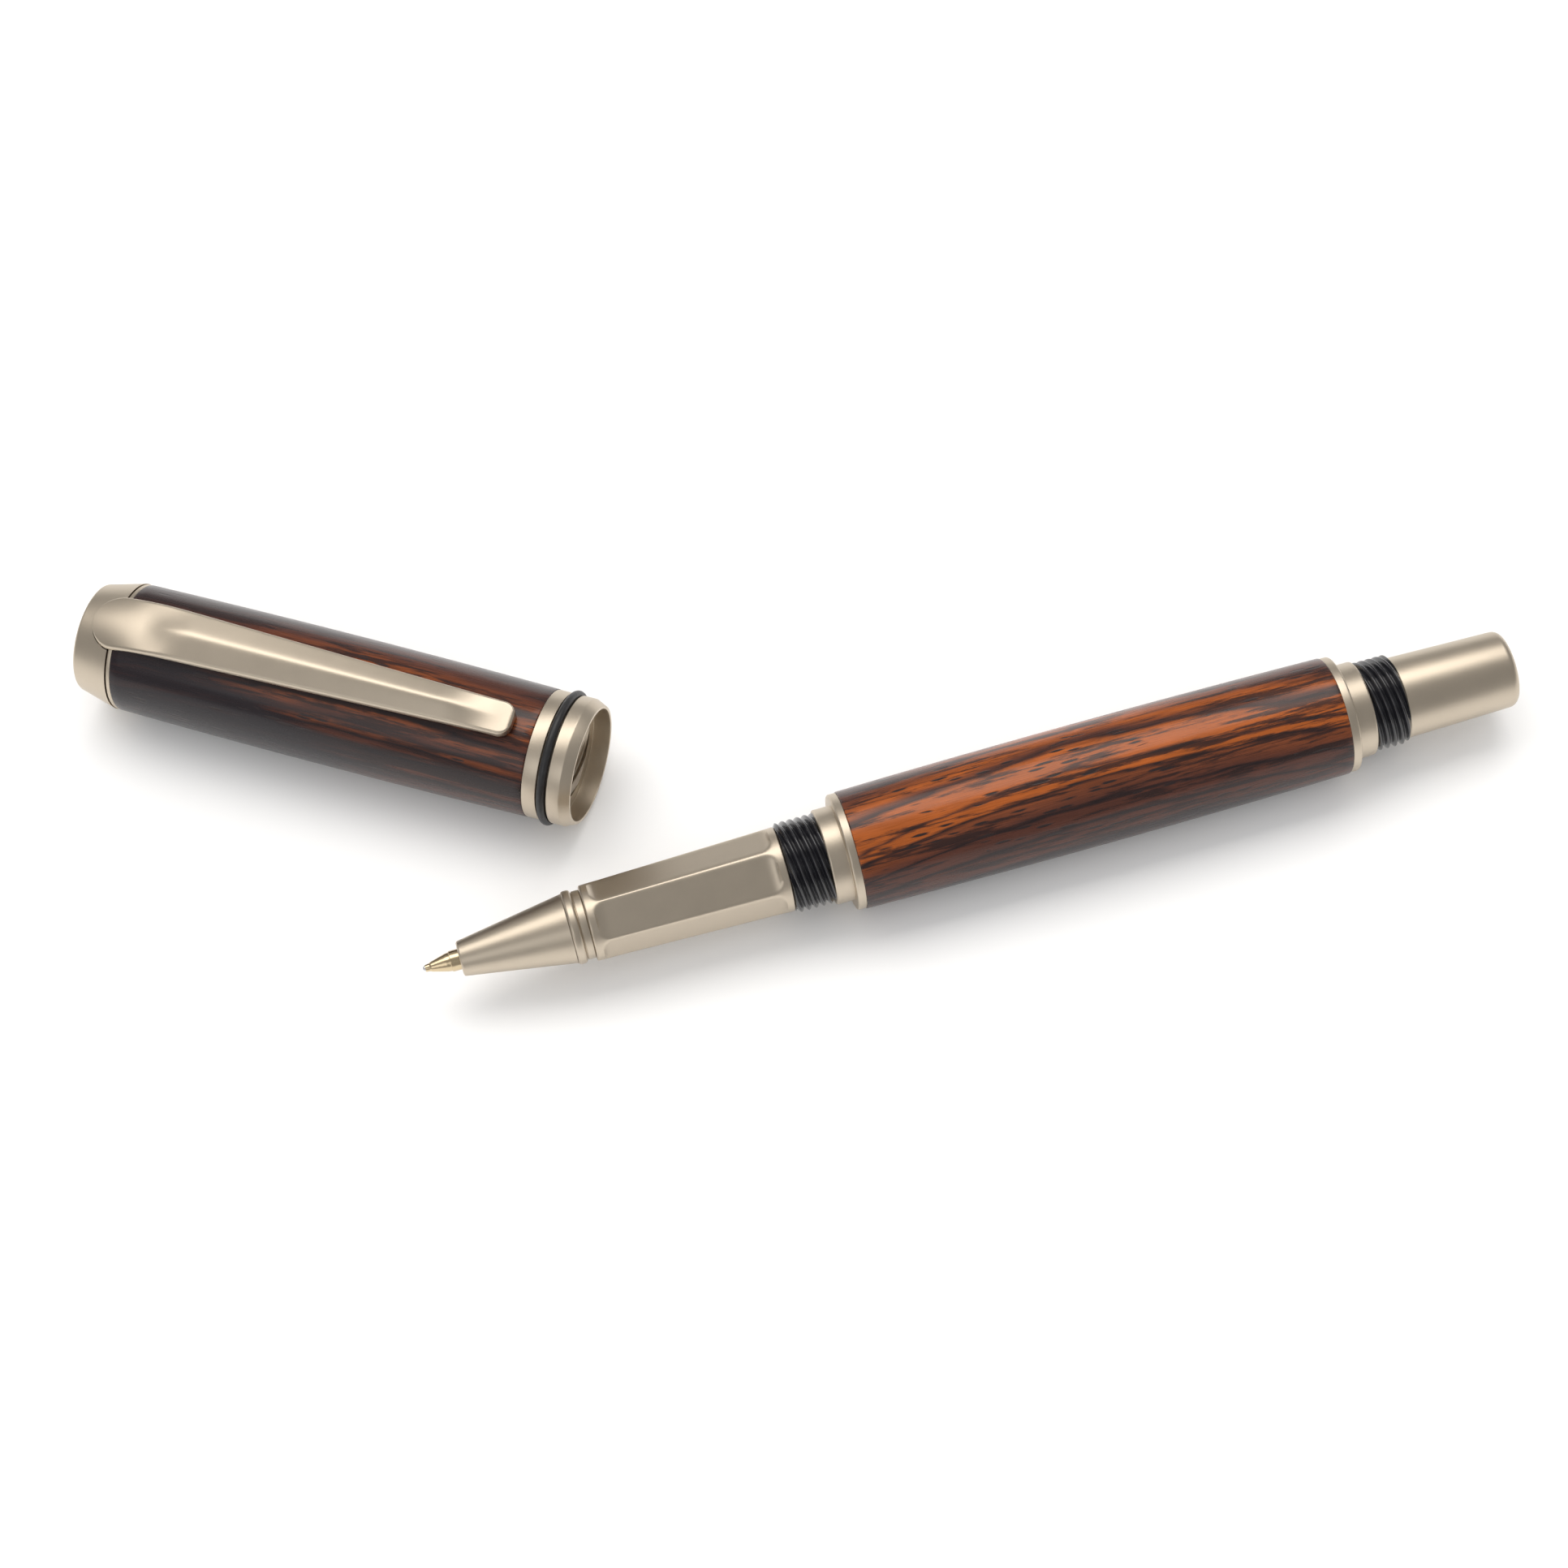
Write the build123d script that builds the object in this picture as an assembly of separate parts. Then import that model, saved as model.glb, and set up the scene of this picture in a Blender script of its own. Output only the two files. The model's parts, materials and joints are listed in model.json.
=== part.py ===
"""Rollerball pen with a turned wooden barrel, lying beside its unscrewed cap.

Pen pieces are turned about X, nose towards -X, with x counted from the ball's tip.
Cap pieces are turned about X too, with x counted from the finial's small end, clip up.
Both are then laid on the table plane and centred over the origin.
"""
import os
from math import cos, pi, radians, sin, sqrt

from build123d import *

# ---- driving dimensions, millimetres ----
# nose and grip
TIP_CONE_END = 3.5
TIP_CONE_R = 1.20
TIP_R = 1.30
BALL_R = 0.35
SOCKET_LIP_R = 0.44
NOSE_X = 4.65
NOSE_FRONT_R = 2.17
NOSE_REAR_R = 4.35
NOSE_RIM_ROUND = 0.35
BEAD_X = 18.4
BEAD_LENGTH = 1.2
BEAD_R = 4.61
BEAD_ROUND = 0.24
GROOVE_R = 4.20
GROOVE_WIDTH = 0.15
LAND_R = 4.30
LAND_LENGTH = 0.95
GRIP_LENGTH = 24.96
GRIP_FRONT_R = 4.75
GRIP_REAR_R = 5.33
GRIP_SIDES = 6
GRIP_FRONT_ROUND = 0.25
EDGE_ROUND = 0.20
FLAT_DEPTH = 0.60
FLAT_MARGIN = 1.25
FLAT_RUNOUT = 1.40
GRIP_BORE_R = 3.65
NOSE_TENON_LENGTH = 5.2

# screw threads that the cap takes
THREAD_STARTS = 5
THREAD_PITCH = 0.95
THREAD_CREST_R = 5.70
THREAD_ROOT_R = 5.22
THREAD_CHAMFER = 0.35
FRONT_THREAD_LENGTH = 5.00
REAR_THREAD_LENGTH = 4.48
FEMALE_CREST_R = 5.40
FEMALE_ROOT_R = 5.80

# barrel
STEP_R = 6.00
FRONT_STEP_LENGTH = 2.31
REAR_STEP_LENGTH = 2.60
STEP_CHAMFER = 0.30
FLANGE_R = 7.32
FRONT_FLANGE_LENGTH = 1.13
REAR_FLANGE_LENGTH = 1.18
FLANGE_ROUND = 0.30
NECK_R = 4.60
COUPLER_BORE_R = 4.00
WOOD_LENGTH = 62.62
WOOD_END_R = 7.43
WOOD_MID_R = 7.71
BARREL_TUBE_R = 5.30
BARREL_TUBE_WALL = 0.30
FRONT_TENON_LENGTH = 10.0
REAR_TENON_LENGTH = 11.0
REAR_POCKET_R = 3.60
REAR_POCKET_DEPTH = 1.70
END_CAP_LENGTH = 14.70
END_CAP_FRONT_R = 5.17
END_CAP_REAR_R = 4.86
END_CAP_ROUND = 1.00
END_SCREW_R = 2.50
END_SCREW_IN_COUPLER = 5.30
END_SCREW_IN_CAP = 4.50

# section sleeve, a hidden screwed tube that joins the grip to the barrel
SLEEVE_THREAD_LENGTH = 8.40

# refill
REFILL_LENGTH = 110.5
REFILL_R = 3.05
REFILL_WALL = 0.30
COLLAR_R = 2.35
COLLAR_X = 10.0
COLLAR_LENGTH = 5.5
COLLAR_ROUND = 0.4
FEED_R = 0.90
FEED_X = 4.2
PLUG_LENGTH = 4.0
INK_LENGTH = 78.0
SPRING_WIRE_R = 0.25
SPRING_COIL_R = 2.30
SPRING_TURNS = 7
PLUG_BOSS_LENGTH = 1.5

# cap
FINIAL_END_R = 6.94
FINIAL_BASE_R = 8.26
FINIAL_LENGTH = 5.07
FINIAL_ROUND = 0.50
FINIAL_BOSS_R = 5.20
CLIP_RING_GAP = 0.13
CLIP_RING_R = 8.20
CLIP_RING_LENGTH = 0.55
STUD_R = 2.50
STUD_X = 1.60
CAP_WOOD_LENGTH = 55.55
CAP_WOOD_END_R = 8.24
CAP_WOOD_MID_R = 8.48
CAP_TUBE_R = 6.60
CAP_TUBE_WALL = 0.40
BUSHING_LENGTH = 6.75
CUP_BORE_R = 4.20
CUP_FLOOR = 0.80
CUP_LENGTH = 14.0
CUP_MOUTH_FLARE = 0.6
CAP_BAND_LENGTH = 1.95
CAP_BAND_R = 8.19
CAP_RING_ROUND = 0.12
MOUTH_ROUND = 0.30
O_RING_R = 0.52
O_RING_OUTER_R = 8.69
O_RING_GROOVE_WIDTH = 1.20
MOUTH_RING_LENGTH = 1.75
MOUTH_R = 8.21
MOUTH_TAPER_LENGTH = 1.30
MOUTH_LIP_R = 7.62
MOUTH_BORE_R = 7.25
MOUTH_BORE_DEPTH = 2.30
CAP_TENON_LENGTH = 7.3
INSERT_LENGTH = 3.60

# clip
CLIP_X = 2.05
CLIP_LENGTH = 56.8
CLIP_HEAD_HALF = 3.60
CLIP_TIP_HALF = 2.15
CLIP_HEAD_FLOOR = 5.80
CLIP_HEAD_TOP = 7.95
CLIP_HEAD_CROWN = 0.10
CLIP_NECK_RISE = 0.90
CLIP_NECK_CROWN = 0.20
CLIP_SHOULDER_LENGTH = 2.00
CLIP_SHOULDER_DROP = 0.20
CLIP_SHOULDER_CROWN = 0.25
CLIP_UNDERSIDE = 8.85
CLIP_EDGE = 0.95
CLIP_RIDGE = 0.95
CLIP_TIP_ROUND = 1.55
CLIP_RIDGE_RUN = 6.00
CLIP_TIP_RUN = 2.50
CLIP_TIP_DROP = 0.50
CLIP_TIP_CROWN = 0.30

# fits, each a radial or axial gap
GLUE_GAP = 0.03
RUNNING_GAP = 0.05
REFILL_GAP = 0.09
FACE_GAP = 0.05
BALL_GAP = 0.03
SPRING_GAP = 0.25
SLOT_GAP = 0.12
CUT_OVERRUN = 1.0
SECTION_OVERRUN = 0.5

# how the two halves lie on the table
CAP_YAW = -33.85
CAP_ROLL = 9.0
CAP_MIDDLE_BEHIND_TIP = (-1.44, 39.55)

# ---- places that follow from the sizes ----
LAND_X = BEAD_X + BEAD_LENGTH + GROOVE_WIDTH
NOSE_END_X = LAND_X + LAND_LENGTH
GRIP_X = NOSE_END_X + FACE_GAP
GRIP_END_X = GRIP_X + GRIP_LENGTH
THREAD_X = GRIP_END_X + FACE_GAP
STEP_X = THREAD_X + FRONT_THREAD_LENGTH
FLANGE_X = STEP_X + FRONT_STEP_LENGTH
WOOD_X = FLANGE_X + FRONT_FLANGE_LENGTH
WOOD_END_X = WOOD_X + WOOD_LENGTH
REAR_STEP_X = WOOD_END_X + REAR_FLANGE_LENGTH
REAR_THREAD_X = REAR_STEP_X + REAR_STEP_LENGTH
END_CAP_X = REAR_THREAD_X + REAR_THREAD_LENGTH
PEN_LENGTH = END_CAP_X + END_CAP_LENGTH
BARREL_TUBE_BORE_R = BARREL_TUBE_R - BARREL_TUBE_WALL
SLEEVE_BORE_R = REFILL_R + REFILL_GAP
SLEEVE_THREAD_R = COUPLER_BORE_R - RUNNING_GAP
SLEEVE_X = NOSE_END_X + NOSE_TENON_LENGTH + FACE_GAP
COLLAR_END_X = COLLAR_X + COLLAR_LENGTH
POCKET_END_X = WOOD_END_X + REAR_POCKET_DEPTH

CLIP_RING_X = FINIAL_LENGTH + CLIP_RING_GAP
CAP_WOOD_X = CLIP_RING_X + CLIP_RING_LENGTH
BAND_X = CAP_WOOD_X + CAP_WOOD_LENGTH
O_RING_X = BAND_X + CAP_BAND_LENGTH + O_RING_GROOVE_WIDTH / 2
MOUTH_RING_X = O_RING_X + O_RING_GROOVE_WIDTH / 2
MOUTH_TAPER_X = MOUTH_RING_X + MOUTH_RING_LENGTH
CAP_LENGTH = MOUTH_TAPER_X + MOUTH_TAPER_LENGTH
MOUTH_FLOOR_X = CAP_LENGTH - MOUTH_BORE_DEPTH
INSERT_X = MOUTH_FLOOR_X - INSERT_LENGTH
CAP_TUBE_BORE_R = CAP_TUBE_R - CAP_TUBE_WALL
CUP_R = CAP_TUBE_BORE_R - RUNNING_GAP
O_RING_GROOVE_R = O_RING_OUTER_R - 2 * O_RING_R
CUP_X = CAP_WOOD_X + BUSHING_LENGTH
CLIP_SHOULDER_X = CLIP_X + CLIP_HEAD_HALF


# ---- shaping helpers ----
def turned(points, rounds=()):
    """Solid turned about X from an outline of (x, radius) points, with some corners rounded."""
    face = make_face(Polyline(*points, close=True))
    for point, radius in rounds:
        corner = face.vertices().sort_by_distance(Vector(*point))[0]
        face = fillet(corner, radius)
    return revolve(Plane.XZ * face, Axis.X)


def tube(start, end, outer, bore):
    """Plain round tube about X."""
    return turned([(start, bore), (end, bore), (end, outer), (start, outer)])


def rod(start, end, radius):
    """Plain round rod about X."""
    return turned([(start, 0), (end, 0), (end, radius), (start, radius)])


def crowned_sleeve(start, end, bore, end_r, middle_r):
    """Sleeve about X whose outside swells in one arc to its largest radius halfway along."""
    sides = Polyline((start, end_r), (start, bore), (end, bore), (end, end_r))
    crown = ThreePointArc((end, end_r), ((start + end) / 2, middle_r), (start, end_r))
    return revolve(Plane.XZ * make_face(sides + crown), Axis.X)


def thread_core(start, length, low_r, high_r):
    """Right-hand screw of several starts: a wavy section that turns as it runs along X."""
    middle_r = (low_r + high_r) / 2
    wave = (high_r - low_r) / 2
    quarter = 2 * pi / (4 * THREAD_STARTS)
    radii = [middle_r + wave * cos(step * pi / 2) for step in range(4 * THREAD_STARTS)]
    points = [(r * cos(i * quarter), r * sin(i * quarter)) for i, r in enumerate(radii)]
    section = make_face(Spline(*points, periodic=True))
    lead = THREAD_STARTS * THREAD_PITCH
    turn = 360 * length / lead
    screw = Solid.extrude_linear_with_rotation(section.face(), (0, 0, 0), (0, 0, length), turn)
    return Location((start, 0, 0)) * Rotation(0, 90, 0) * screw


def grip_radius(x):
    """Corner radius of the grip, which widens evenly towards the barrel."""
    return GRIP_FRONT_R + (GRIP_REAR_R - GRIP_FRONT_R) * (x - GRIP_X) / GRIP_LENGTH


# ---- refill ----
def refill_ball():
    """Writing ball, seated so that a little of it stands out of the socket."""
    return Location((BALL_R, 0, 0)) * Sphere(BALL_R)


def refill_tip():
    """Metal point: a cone with a round socket for the ball, and a plain shank into the collar."""
    lip_x = BALL_R
    socket_r = BALL_R + BALL_GAP
    middle = socket_r / sqrt(2)
    body = Polyline(
        (lip_x + socket_r, 0),
        (FEED_X, 0),
        (FEED_X, FEED_R),
        (COLLAR_X, FEED_R),
        (COLLAR_X, TIP_R),
        (TIP_CONE_END, TIP_R),
        (TIP_CONE_END, TIP_CONE_R),
        (lip_x, SOCKET_LIP_R),
        (lip_x, socket_r),
    )
    socket = ThreePointArc((lip_x, socket_r), (lip_x + middle, middle), (lip_x + socket_r, 0))
    return revolve(Plane.XZ * make_face(body + socket), Axis.X)


def refill_feed():
    """Fibre feed that carries ink from the reservoir to the ball."""
    return rod(FEED_X, COLLAR_END_X + PLUG_LENGTH, FEED_R)


def refill_collar():
    """Stepped plastic collar that joins the point to the tube."""
    plug_r = REFILL_R - REFILL_WALL
    points = [
        (COLLAR_X, FEED_R),
        (COLLAR_END_X + PLUG_LENGTH, FEED_R),
        (COLLAR_END_X + PLUG_LENGTH, plug_r),
        (COLLAR_END_X, plug_r),
        (COLLAR_END_X, COLLAR_R),
        (COLLAR_X, COLLAR_R),
    ]
    return turned(points, [((COLLAR_X, COLLAR_R), COLLAR_ROUND)])


def refill_tube():
    """Long tube that holds the ink."""
    return tube(COLLAR_END_X, REFILL_LENGTH, REFILL_R, REFILL_R - REFILL_WALL)


def refill_ink():
    """Ink-soaked filler inside the tube."""
    start = COLLAR_END_X + PLUG_LENGTH
    return rod(start, start + INK_LENGTH, REFILL_R - REFILL_WALL)


def refill_end_plug():
    """Plug in the tube's back end, with a boss that the spring slips over."""
    bore = REFILL_R - REFILL_WALL
    boss_r = SPRING_COIL_R - SPRING_WIRE_R - SPRING_GAP
    boss_length = PLUG_BOSS_LENGTH
    inner = rod(REFILL_LENGTH - PLUG_LENGTH, REFILL_LENGTH, bore)
    return inner + rod(REFILL_LENGTH, REFILL_LENGTH + boss_length, boss_r)


def refill_spring():
    """Wire spring between the refill and the bottom of the rear coupler's pocket."""
    start = REFILL_LENGTH + SPRING_WIRE_R
    height = POCKET_END_X - SPRING_WIRE_R - start
    path = Helix(pitch=height / SPRING_TURNS, height=height, radius=SPRING_COIL_R)
    section = Plane(path @ 0, z_dir=path % 0) * Circle(SPRING_WIRE_R)
    wire = sweep(section, path=path, is_frenet=True)
    return Location((start, 0, 0)) * Rotation(0, 90, 0) * wire


# ---- nose, grip and sleeve ----
def nose_cone():
    """Tapered nose with a bead and a groove, and a tenon that screws into the grip."""
    bead_end = BEAD_X + BEAD_LENGTH
    tenon_r = GRIP_BORE_R - RUNNING_GAP
    tenon_end = NOSE_END_X + NOSE_TENON_LENGTH
    points = [
        (NOSE_X, TIP_R + REFILL_GAP),
        (COLLAR_X - FACE_GAP, TIP_R + REFILL_GAP),
        (COLLAR_X - FACE_GAP, COLLAR_R + REFILL_GAP),
        (COLLAR_END_X - FACE_GAP, COLLAR_R + REFILL_GAP),
        (COLLAR_END_X - FACE_GAP, SLEEVE_BORE_R),
        (tenon_end, SLEEVE_BORE_R),
        (tenon_end, tenon_r),
        (NOSE_END_X, tenon_r),
        (NOSE_END_X, LAND_R),
        (LAND_X, LAND_R),
        (LAND_X, GROOVE_R),
        (bead_end, GROOVE_R),
        (bead_end, BEAD_R),
        (BEAD_X, BEAD_R),
        (BEAD_X, NOSE_REAR_R),
        (NOSE_X, NOSE_FRONT_R),
    ]
    rounds = [
        ((NOSE_X, NOSE_FRONT_R), NOSE_RIM_ROUND),
        ((BEAD_X, BEAD_R), BEAD_ROUND),
        ((bead_end, BEAD_R), BEAD_ROUND),
    ]
    return turned(points, rounds)


def grip_flat_cutter():
    """Prism that cuts one flat of the grip, with a rounded run-out at each end."""
    start = GRIP_X + FLAT_MARGIN
    end = GRIP_END_X - FLAT_MARGIN
    top = GRIP_REAR_R + 2 * CUT_OVERRUN
    low_start = grip_radius(start) - FLAT_DEPTH
    low_end = grip_radius(end) - FLAT_DEPTH
    points = [(start, top), (start, low_start), (end, low_end), (end, top)]
    face = make_face(Polyline(*points, close=True))
    for point in points[1:3]:
        corner = face.vertices().sort_by_distance(Vector(*point))[0]
        face = fillet(corner, FLAT_RUNOUT)
    return extrude(Plane.XZ * face, GRIP_REAR_R + CUT_OVERRUN, both=True)


def grip_section():
    """Six-sided grip, round at both ends."""
    points = [
        (GRIP_X, GRIP_BORE_R),
        (GRIP_END_X, GRIP_BORE_R),
        (GRIP_END_X, GRIP_REAR_R),
        (GRIP_X, GRIP_FRONT_R),
    ]
    rounds = [((GRIP_X, GRIP_FRONT_R), GRIP_FRONT_ROUND), ((GRIP_END_X, GRIP_REAR_R), EDGE_ROUND)]
    grip = turned(points, rounds)
    cutter = grip_flat_cutter()
    for side in range(GRIP_SIDES):
        angle = (side + 0.5) * 360 / GRIP_SIDES
        grip = grip - Rotation(angle, 0, 0) * cutter
    return grip


def section_sleeve():
    """Thin tube through the grip, with a threaded stretch that screws into the front coupler."""
    outer = GRIP_BORE_R - RUNNING_GAP
    thread_end = GRIP_END_X + SLEEVE_THREAD_LENGTH
    points = [
        (SLEEVE_X, SLEEVE_BORE_R),
        (thread_end, SLEEVE_BORE_R),
        (thread_end, SLEEVE_THREAD_R),
        (GRIP_END_X + FACE_GAP, SLEEVE_THREAD_R),
        (GRIP_END_X + FACE_GAP, outer),
        (SLEEVE_X, outer),
    ]
    return turned(points)


# ---- barrel ----
def front_coupler():
    """Front fitting: neck for the thread ring, step, flange and a tenon glued in the tube."""
    tenon_end = WOOD_X + FRONT_TENON_LENGTH
    tenon_r = BARREL_TUBE_BORE_R - GLUE_GAP
    points = [
        (THREAD_X, COUPLER_BORE_R),
        (tenon_end, COUPLER_BORE_R),
        (tenon_end, tenon_r),
        (WOOD_X, tenon_r),
        (WOOD_X, FLANGE_R),
        (FLANGE_X, FLANGE_R),
        (FLANGE_X, STEP_R),
        (STEP_X, STEP_R),
        (STEP_X, NECK_R),
        (THREAD_X, NECK_R),
    ]
    rounds = [
        ((FLANGE_X, FLANGE_R), FLANGE_ROUND),
        ((WOOD_X, FLANGE_R), FLANGE_ROUND / 2),
        ((STEP_X, STEP_R), STEP_CHAMFER),
    ]
    return turned(points, rounds)


def end_chamfer(face_x, inward_x):
    """Cone-sided ring that takes the corner off a screw thread at one end."""
    outside = THREAD_CREST_R + CUT_OVERRUN
    reach = (inward_x - face_x) * (outside - THREAD_CREST_R + THREAD_CHAMFER) / THREAD_CHAMFER
    points = [
        (face_x - (inward_x - face_x), THREAD_CREST_R - 2 * THREAD_CHAMFER),
        (face_x + reach, outside),
        (face_x - (inward_x - face_x), outside),
    ]
    return turned(points)


def thread_ring(start, length, chamfered_end, inward):
    """Plastic ring on a coupler's neck, with the male screw thread that the cap takes."""
    core = thread_core(start, length, THREAD_ROOT_R, THREAD_CREST_R)
    core = core - rod(start - CUT_OVERRUN, start + length + CUT_OVERRUN, NECK_R + GLUE_GAP)
    return core - end_chamfer(chamfered_end, chamfered_end + inward * THREAD_CHAMFER)


def barrel_wood():
    """Turned and polished wooden sleeve of the barrel."""
    bore = BARREL_TUBE_R + GLUE_GAP
    return crowned_sleeve(WOOD_X, WOOD_END_X, bore, WOOD_END_R, WOOD_MID_R)


def barrel_tube():
    """Brass tube that lines the wooden sleeve."""
    return tube(WOOD_X, WOOD_END_X, BARREL_TUBE_R, BARREL_TUBE_BORE_R)


def rear_coupler():
    """Rear fitting: tenon with the spring's pocket, flange, step, and a neck with a screw hole."""
    tenon_x = WOOD_END_X - REAR_TENON_LENGTH
    tenon_r = BARREL_TUBE_BORE_R - GLUE_GAP
    hole_x = END_CAP_X - END_SCREW_IN_COUPLER
    points = [
        (tenon_x, REAR_POCKET_R),
        (POCKET_END_X, REAR_POCKET_R),
        (POCKET_END_X, 0),
        (hole_x, 0),
        (hole_x, END_SCREW_R),
        (END_CAP_X, END_SCREW_R),
        (END_CAP_X, NECK_R),
        (REAR_THREAD_X, NECK_R),
        (REAR_THREAD_X, STEP_R),
        (REAR_STEP_X, STEP_R),
        (REAR_STEP_X, FLANGE_R),
        (WOOD_END_X, FLANGE_R),
        (WOOD_END_X, tenon_r),
        (tenon_x, tenon_r),
    ]
    rounds = [
        ((REAR_STEP_X, FLANGE_R), FLANGE_ROUND),
        ((WOOD_END_X, FLANGE_R), FLANGE_ROUND / 2),
        ((REAR_THREAD_X, STEP_R), STEP_CHAMFER),
    ]
    return turned(points, rounds)


def end_cap_screw():
    """Screw that holds the end cap and the rear thread ring on the rear coupler."""
    start = END_CAP_X - END_SCREW_IN_COUPLER + FACE_GAP
    return rod(start, END_CAP_X + END_SCREW_IN_CAP - FACE_GAP, END_SCREW_R - GLUE_GAP)


def end_cap():
    """Plain tail cap, tapering slightly to a rounded end."""
    hole_end = END_CAP_X + END_SCREW_IN_CAP
    points = [
        (END_CAP_X, END_SCREW_R),
        (hole_end, END_SCREW_R),
        (hole_end, 0),
        (PEN_LENGTH, 0),
        (PEN_LENGTH, END_CAP_REAR_R),
        (END_CAP_X, END_CAP_FRONT_R),
    ]
    rounds = [((PEN_LENGTH, END_CAP_REAR_R), END_CAP_ROUND), ((END_CAP_X, END_CAP_FRONT_R), EDGE_ROUND)]
    return turned(points, rounds)


# ---- cap ----
def clip_half_width(x):
    """Half the clip's width at x, narrowing evenly from the head to the tip."""
    share = (x - CLIP_SHOULDER_X) / (CLIP_X + CLIP_LENGTH - CLIP_SHOULDER_X)
    return CLIP_HEAD_HALF + (CLIP_TIP_HALF - CLIP_HEAD_HALF) * share


def clip_plan(gap):
    """Outline of the clip seen from above, a round head and a rounded tip, grown by a gap."""
    tip_x = CLIP_X + CLIP_LENGTH + gap
    head = CLIP_HEAD_HALF + gap
    tip = CLIP_TIP_HALF + gap
    round_head = ThreePointArc((CLIP_SHOULDER_X, -head), (CLIP_X - gap, 0), (CLIP_SHOULDER_X, head))
    shaft = Polyline((CLIP_SHOULDER_X, head), (tip_x, tip), (tip_x, -tip), (CLIP_SHOULDER_X, -head))
    plan = make_face(round_head + shaft)
    for point in [(tip_x, tip), (tip_x, -tip)]:
        corner = plan.vertices().sort_by_distance(Vector(*point))[0]
        plan = fillet(corner, CLIP_TIP_ROUND)
    return plan


def clip_section(x, low, edge, ridge):
    """Five-cornered section of the clip at x: flat underside, upright sides, ridged top."""
    half = clip_half_width(x) + SECTION_OVERRUN
    points = [(-half, low), (half, low), (half, edge), (0, ridge), (-half, edge)]
    return Plane(origin=(x, 0, 0), x_dir=(0, 1, 0), z_dir=(1, 0, 0)) * make_face(
        Polyline(*points, close=True)
    )


def clip():
    """Long tapered clip with a ridge; its head lies in the finial's slot."""
    tip_x = CLIP_X + CLIP_LENGTH
    neck_x = FINIAL_LENGTH - FACE_GAP
    shaft_x = CAP_WOOD_X + CLIP_SHOULDER_LENGTH
    head_top = CLIP_HEAD_TOP
    neck_top = FINIAL_BASE_R + CLIP_NECK_RISE
    neck_crown = neck_top + CLIP_NECK_CROWN
    neck_low = CLIP_RING_R + RUNNING_GAP
    shoulder_low = CLIP_UNDERSIDE - CLIP_SHOULDER_DROP
    edge = CLIP_UNDERSIDE + CLIP_EDGE
    ridge = edge + CLIP_RIDGE
    shoulder = clip_section(shaft_x, shoulder_low, edge, edge + CLIP_SHOULDER_CROWN)
    tip_edge = edge - CLIP_TIP_DROP
    head_sections = [
        clip_section(CLIP_X - SECTION_OVERRUN, CLIP_HEAD_FLOOR, head_top, head_top + CLIP_HEAD_CROWN),
        clip_section(neck_x, CLIP_HEAD_FLOOR, neck_top, neck_crown),
    ]
    neck_sections = [
        clip_section(neck_x, neck_low, neck_top, neck_crown),
        shoulder,
    ]
    shaft_sections = [
        shoulder,
        clip_section(shaft_x + CLIP_RIDGE_RUN, CLIP_UNDERSIDE, edge, ridge),
        clip_section(tip_x - CLIP_TIP_RUN, CLIP_UNDERSIDE, edge, ridge),
        clip_section(tip_x + SECTION_OVERRUN, CLIP_UNDERSIDE, tip_edge, tip_edge + CLIP_TIP_CROWN),
    ]
    bar = loft(head_sections, ruled=True)
    bar = bar + loft(neck_sections, ruled=True)
    bar = bar + loft(shaft_sections, ruled=True)
    outline = extrude(Plane.XY * clip_plan(0), ridge + CUT_OVERRUN)
    return bar & outline


def cap_finial():
    """Cone-shaped top of the cap, with a slot for the clip's head and a hole for the stud."""
    boss_end = CLIP_RING_X
    points = [
        (0, 0),
        (STUD_X, 0),
        (STUD_X, STUD_R + GLUE_GAP),
        (boss_end, STUD_R + GLUE_GAP),
        (boss_end, FINIAL_BOSS_R),
        (FINIAL_LENGTH, FINIAL_BOSS_R),
        (FINIAL_LENGTH, FINIAL_BASE_R),
        (0, FINIAL_END_R),
    ]
    body = turned(points, [((0, FINIAL_END_R), FINIAL_ROUND)])
    slot_floor = CLIP_HEAD_FLOOR - SLOT_GAP
    slot = extrude(Plane.XY.offset(slot_floor) * clip_plan(SLOT_GAP), CLIP_UNDERSIDE)
    return body - slot


def finial_stud():
    """Screwed stud from the finial, through the clip ring, into the top bushing."""
    return rod(STUD_X + FACE_GAP, CUP_X - FACE_GAP, STUD_R)


def clip_ring():
    """Thin washer between the finial and the wood."""
    points = [
        (CLIP_RING_X, STUD_R + GLUE_GAP),
        (CAP_WOOD_X, STUD_R + GLUE_GAP),
        (CAP_WOOD_X, CLIP_RING_R),
        (CLIP_RING_X, CLIP_RING_R),
    ]
    return turned(points, [((CLIP_RING_X, CLIP_RING_R), CAP_RING_ROUND)])


def cap_top_bushing():
    """Metal bush glued in the top of the cap's tube, threaded for the stud."""
    outer = CAP_TUBE_BORE_R - GLUE_GAP
    return tube(CAP_WOOD_X, CUP_X, outer, STUD_R + GLUE_GAP)


def cap_tube():
    """Brass tube that lines the cap's wooden sleeve."""
    return tube(CAP_WOOD_X, BAND_X, CAP_TUBE_R, CAP_TUBE_BORE_R)


def cap_wood():
    """Turned and polished wooden sleeve of the cap."""
    bore = CAP_TUBE_R + GLUE_GAP
    return crowned_sleeve(CAP_WOOD_X, BAND_X, bore, CAP_WOOD_END_R, CAP_WOOD_MID_R)


def cap_inner_cup():
    """Plastic cup at the cavity's end that keeps the nose from drying out."""
    points = [
        (CUP_X, 0),
        (CUP_X + CUP_FLOOR, 0),
        (CUP_X + CUP_FLOOR, CUP_BORE_R),
        (CUP_X + CUP_LENGTH, CUP_BORE_R + CUP_MOUTH_FLARE),
        (CUP_X + CUP_LENGTH, CUP_R),
        (CUP_X, CUP_R),
    ]
    return turned(points)


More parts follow.
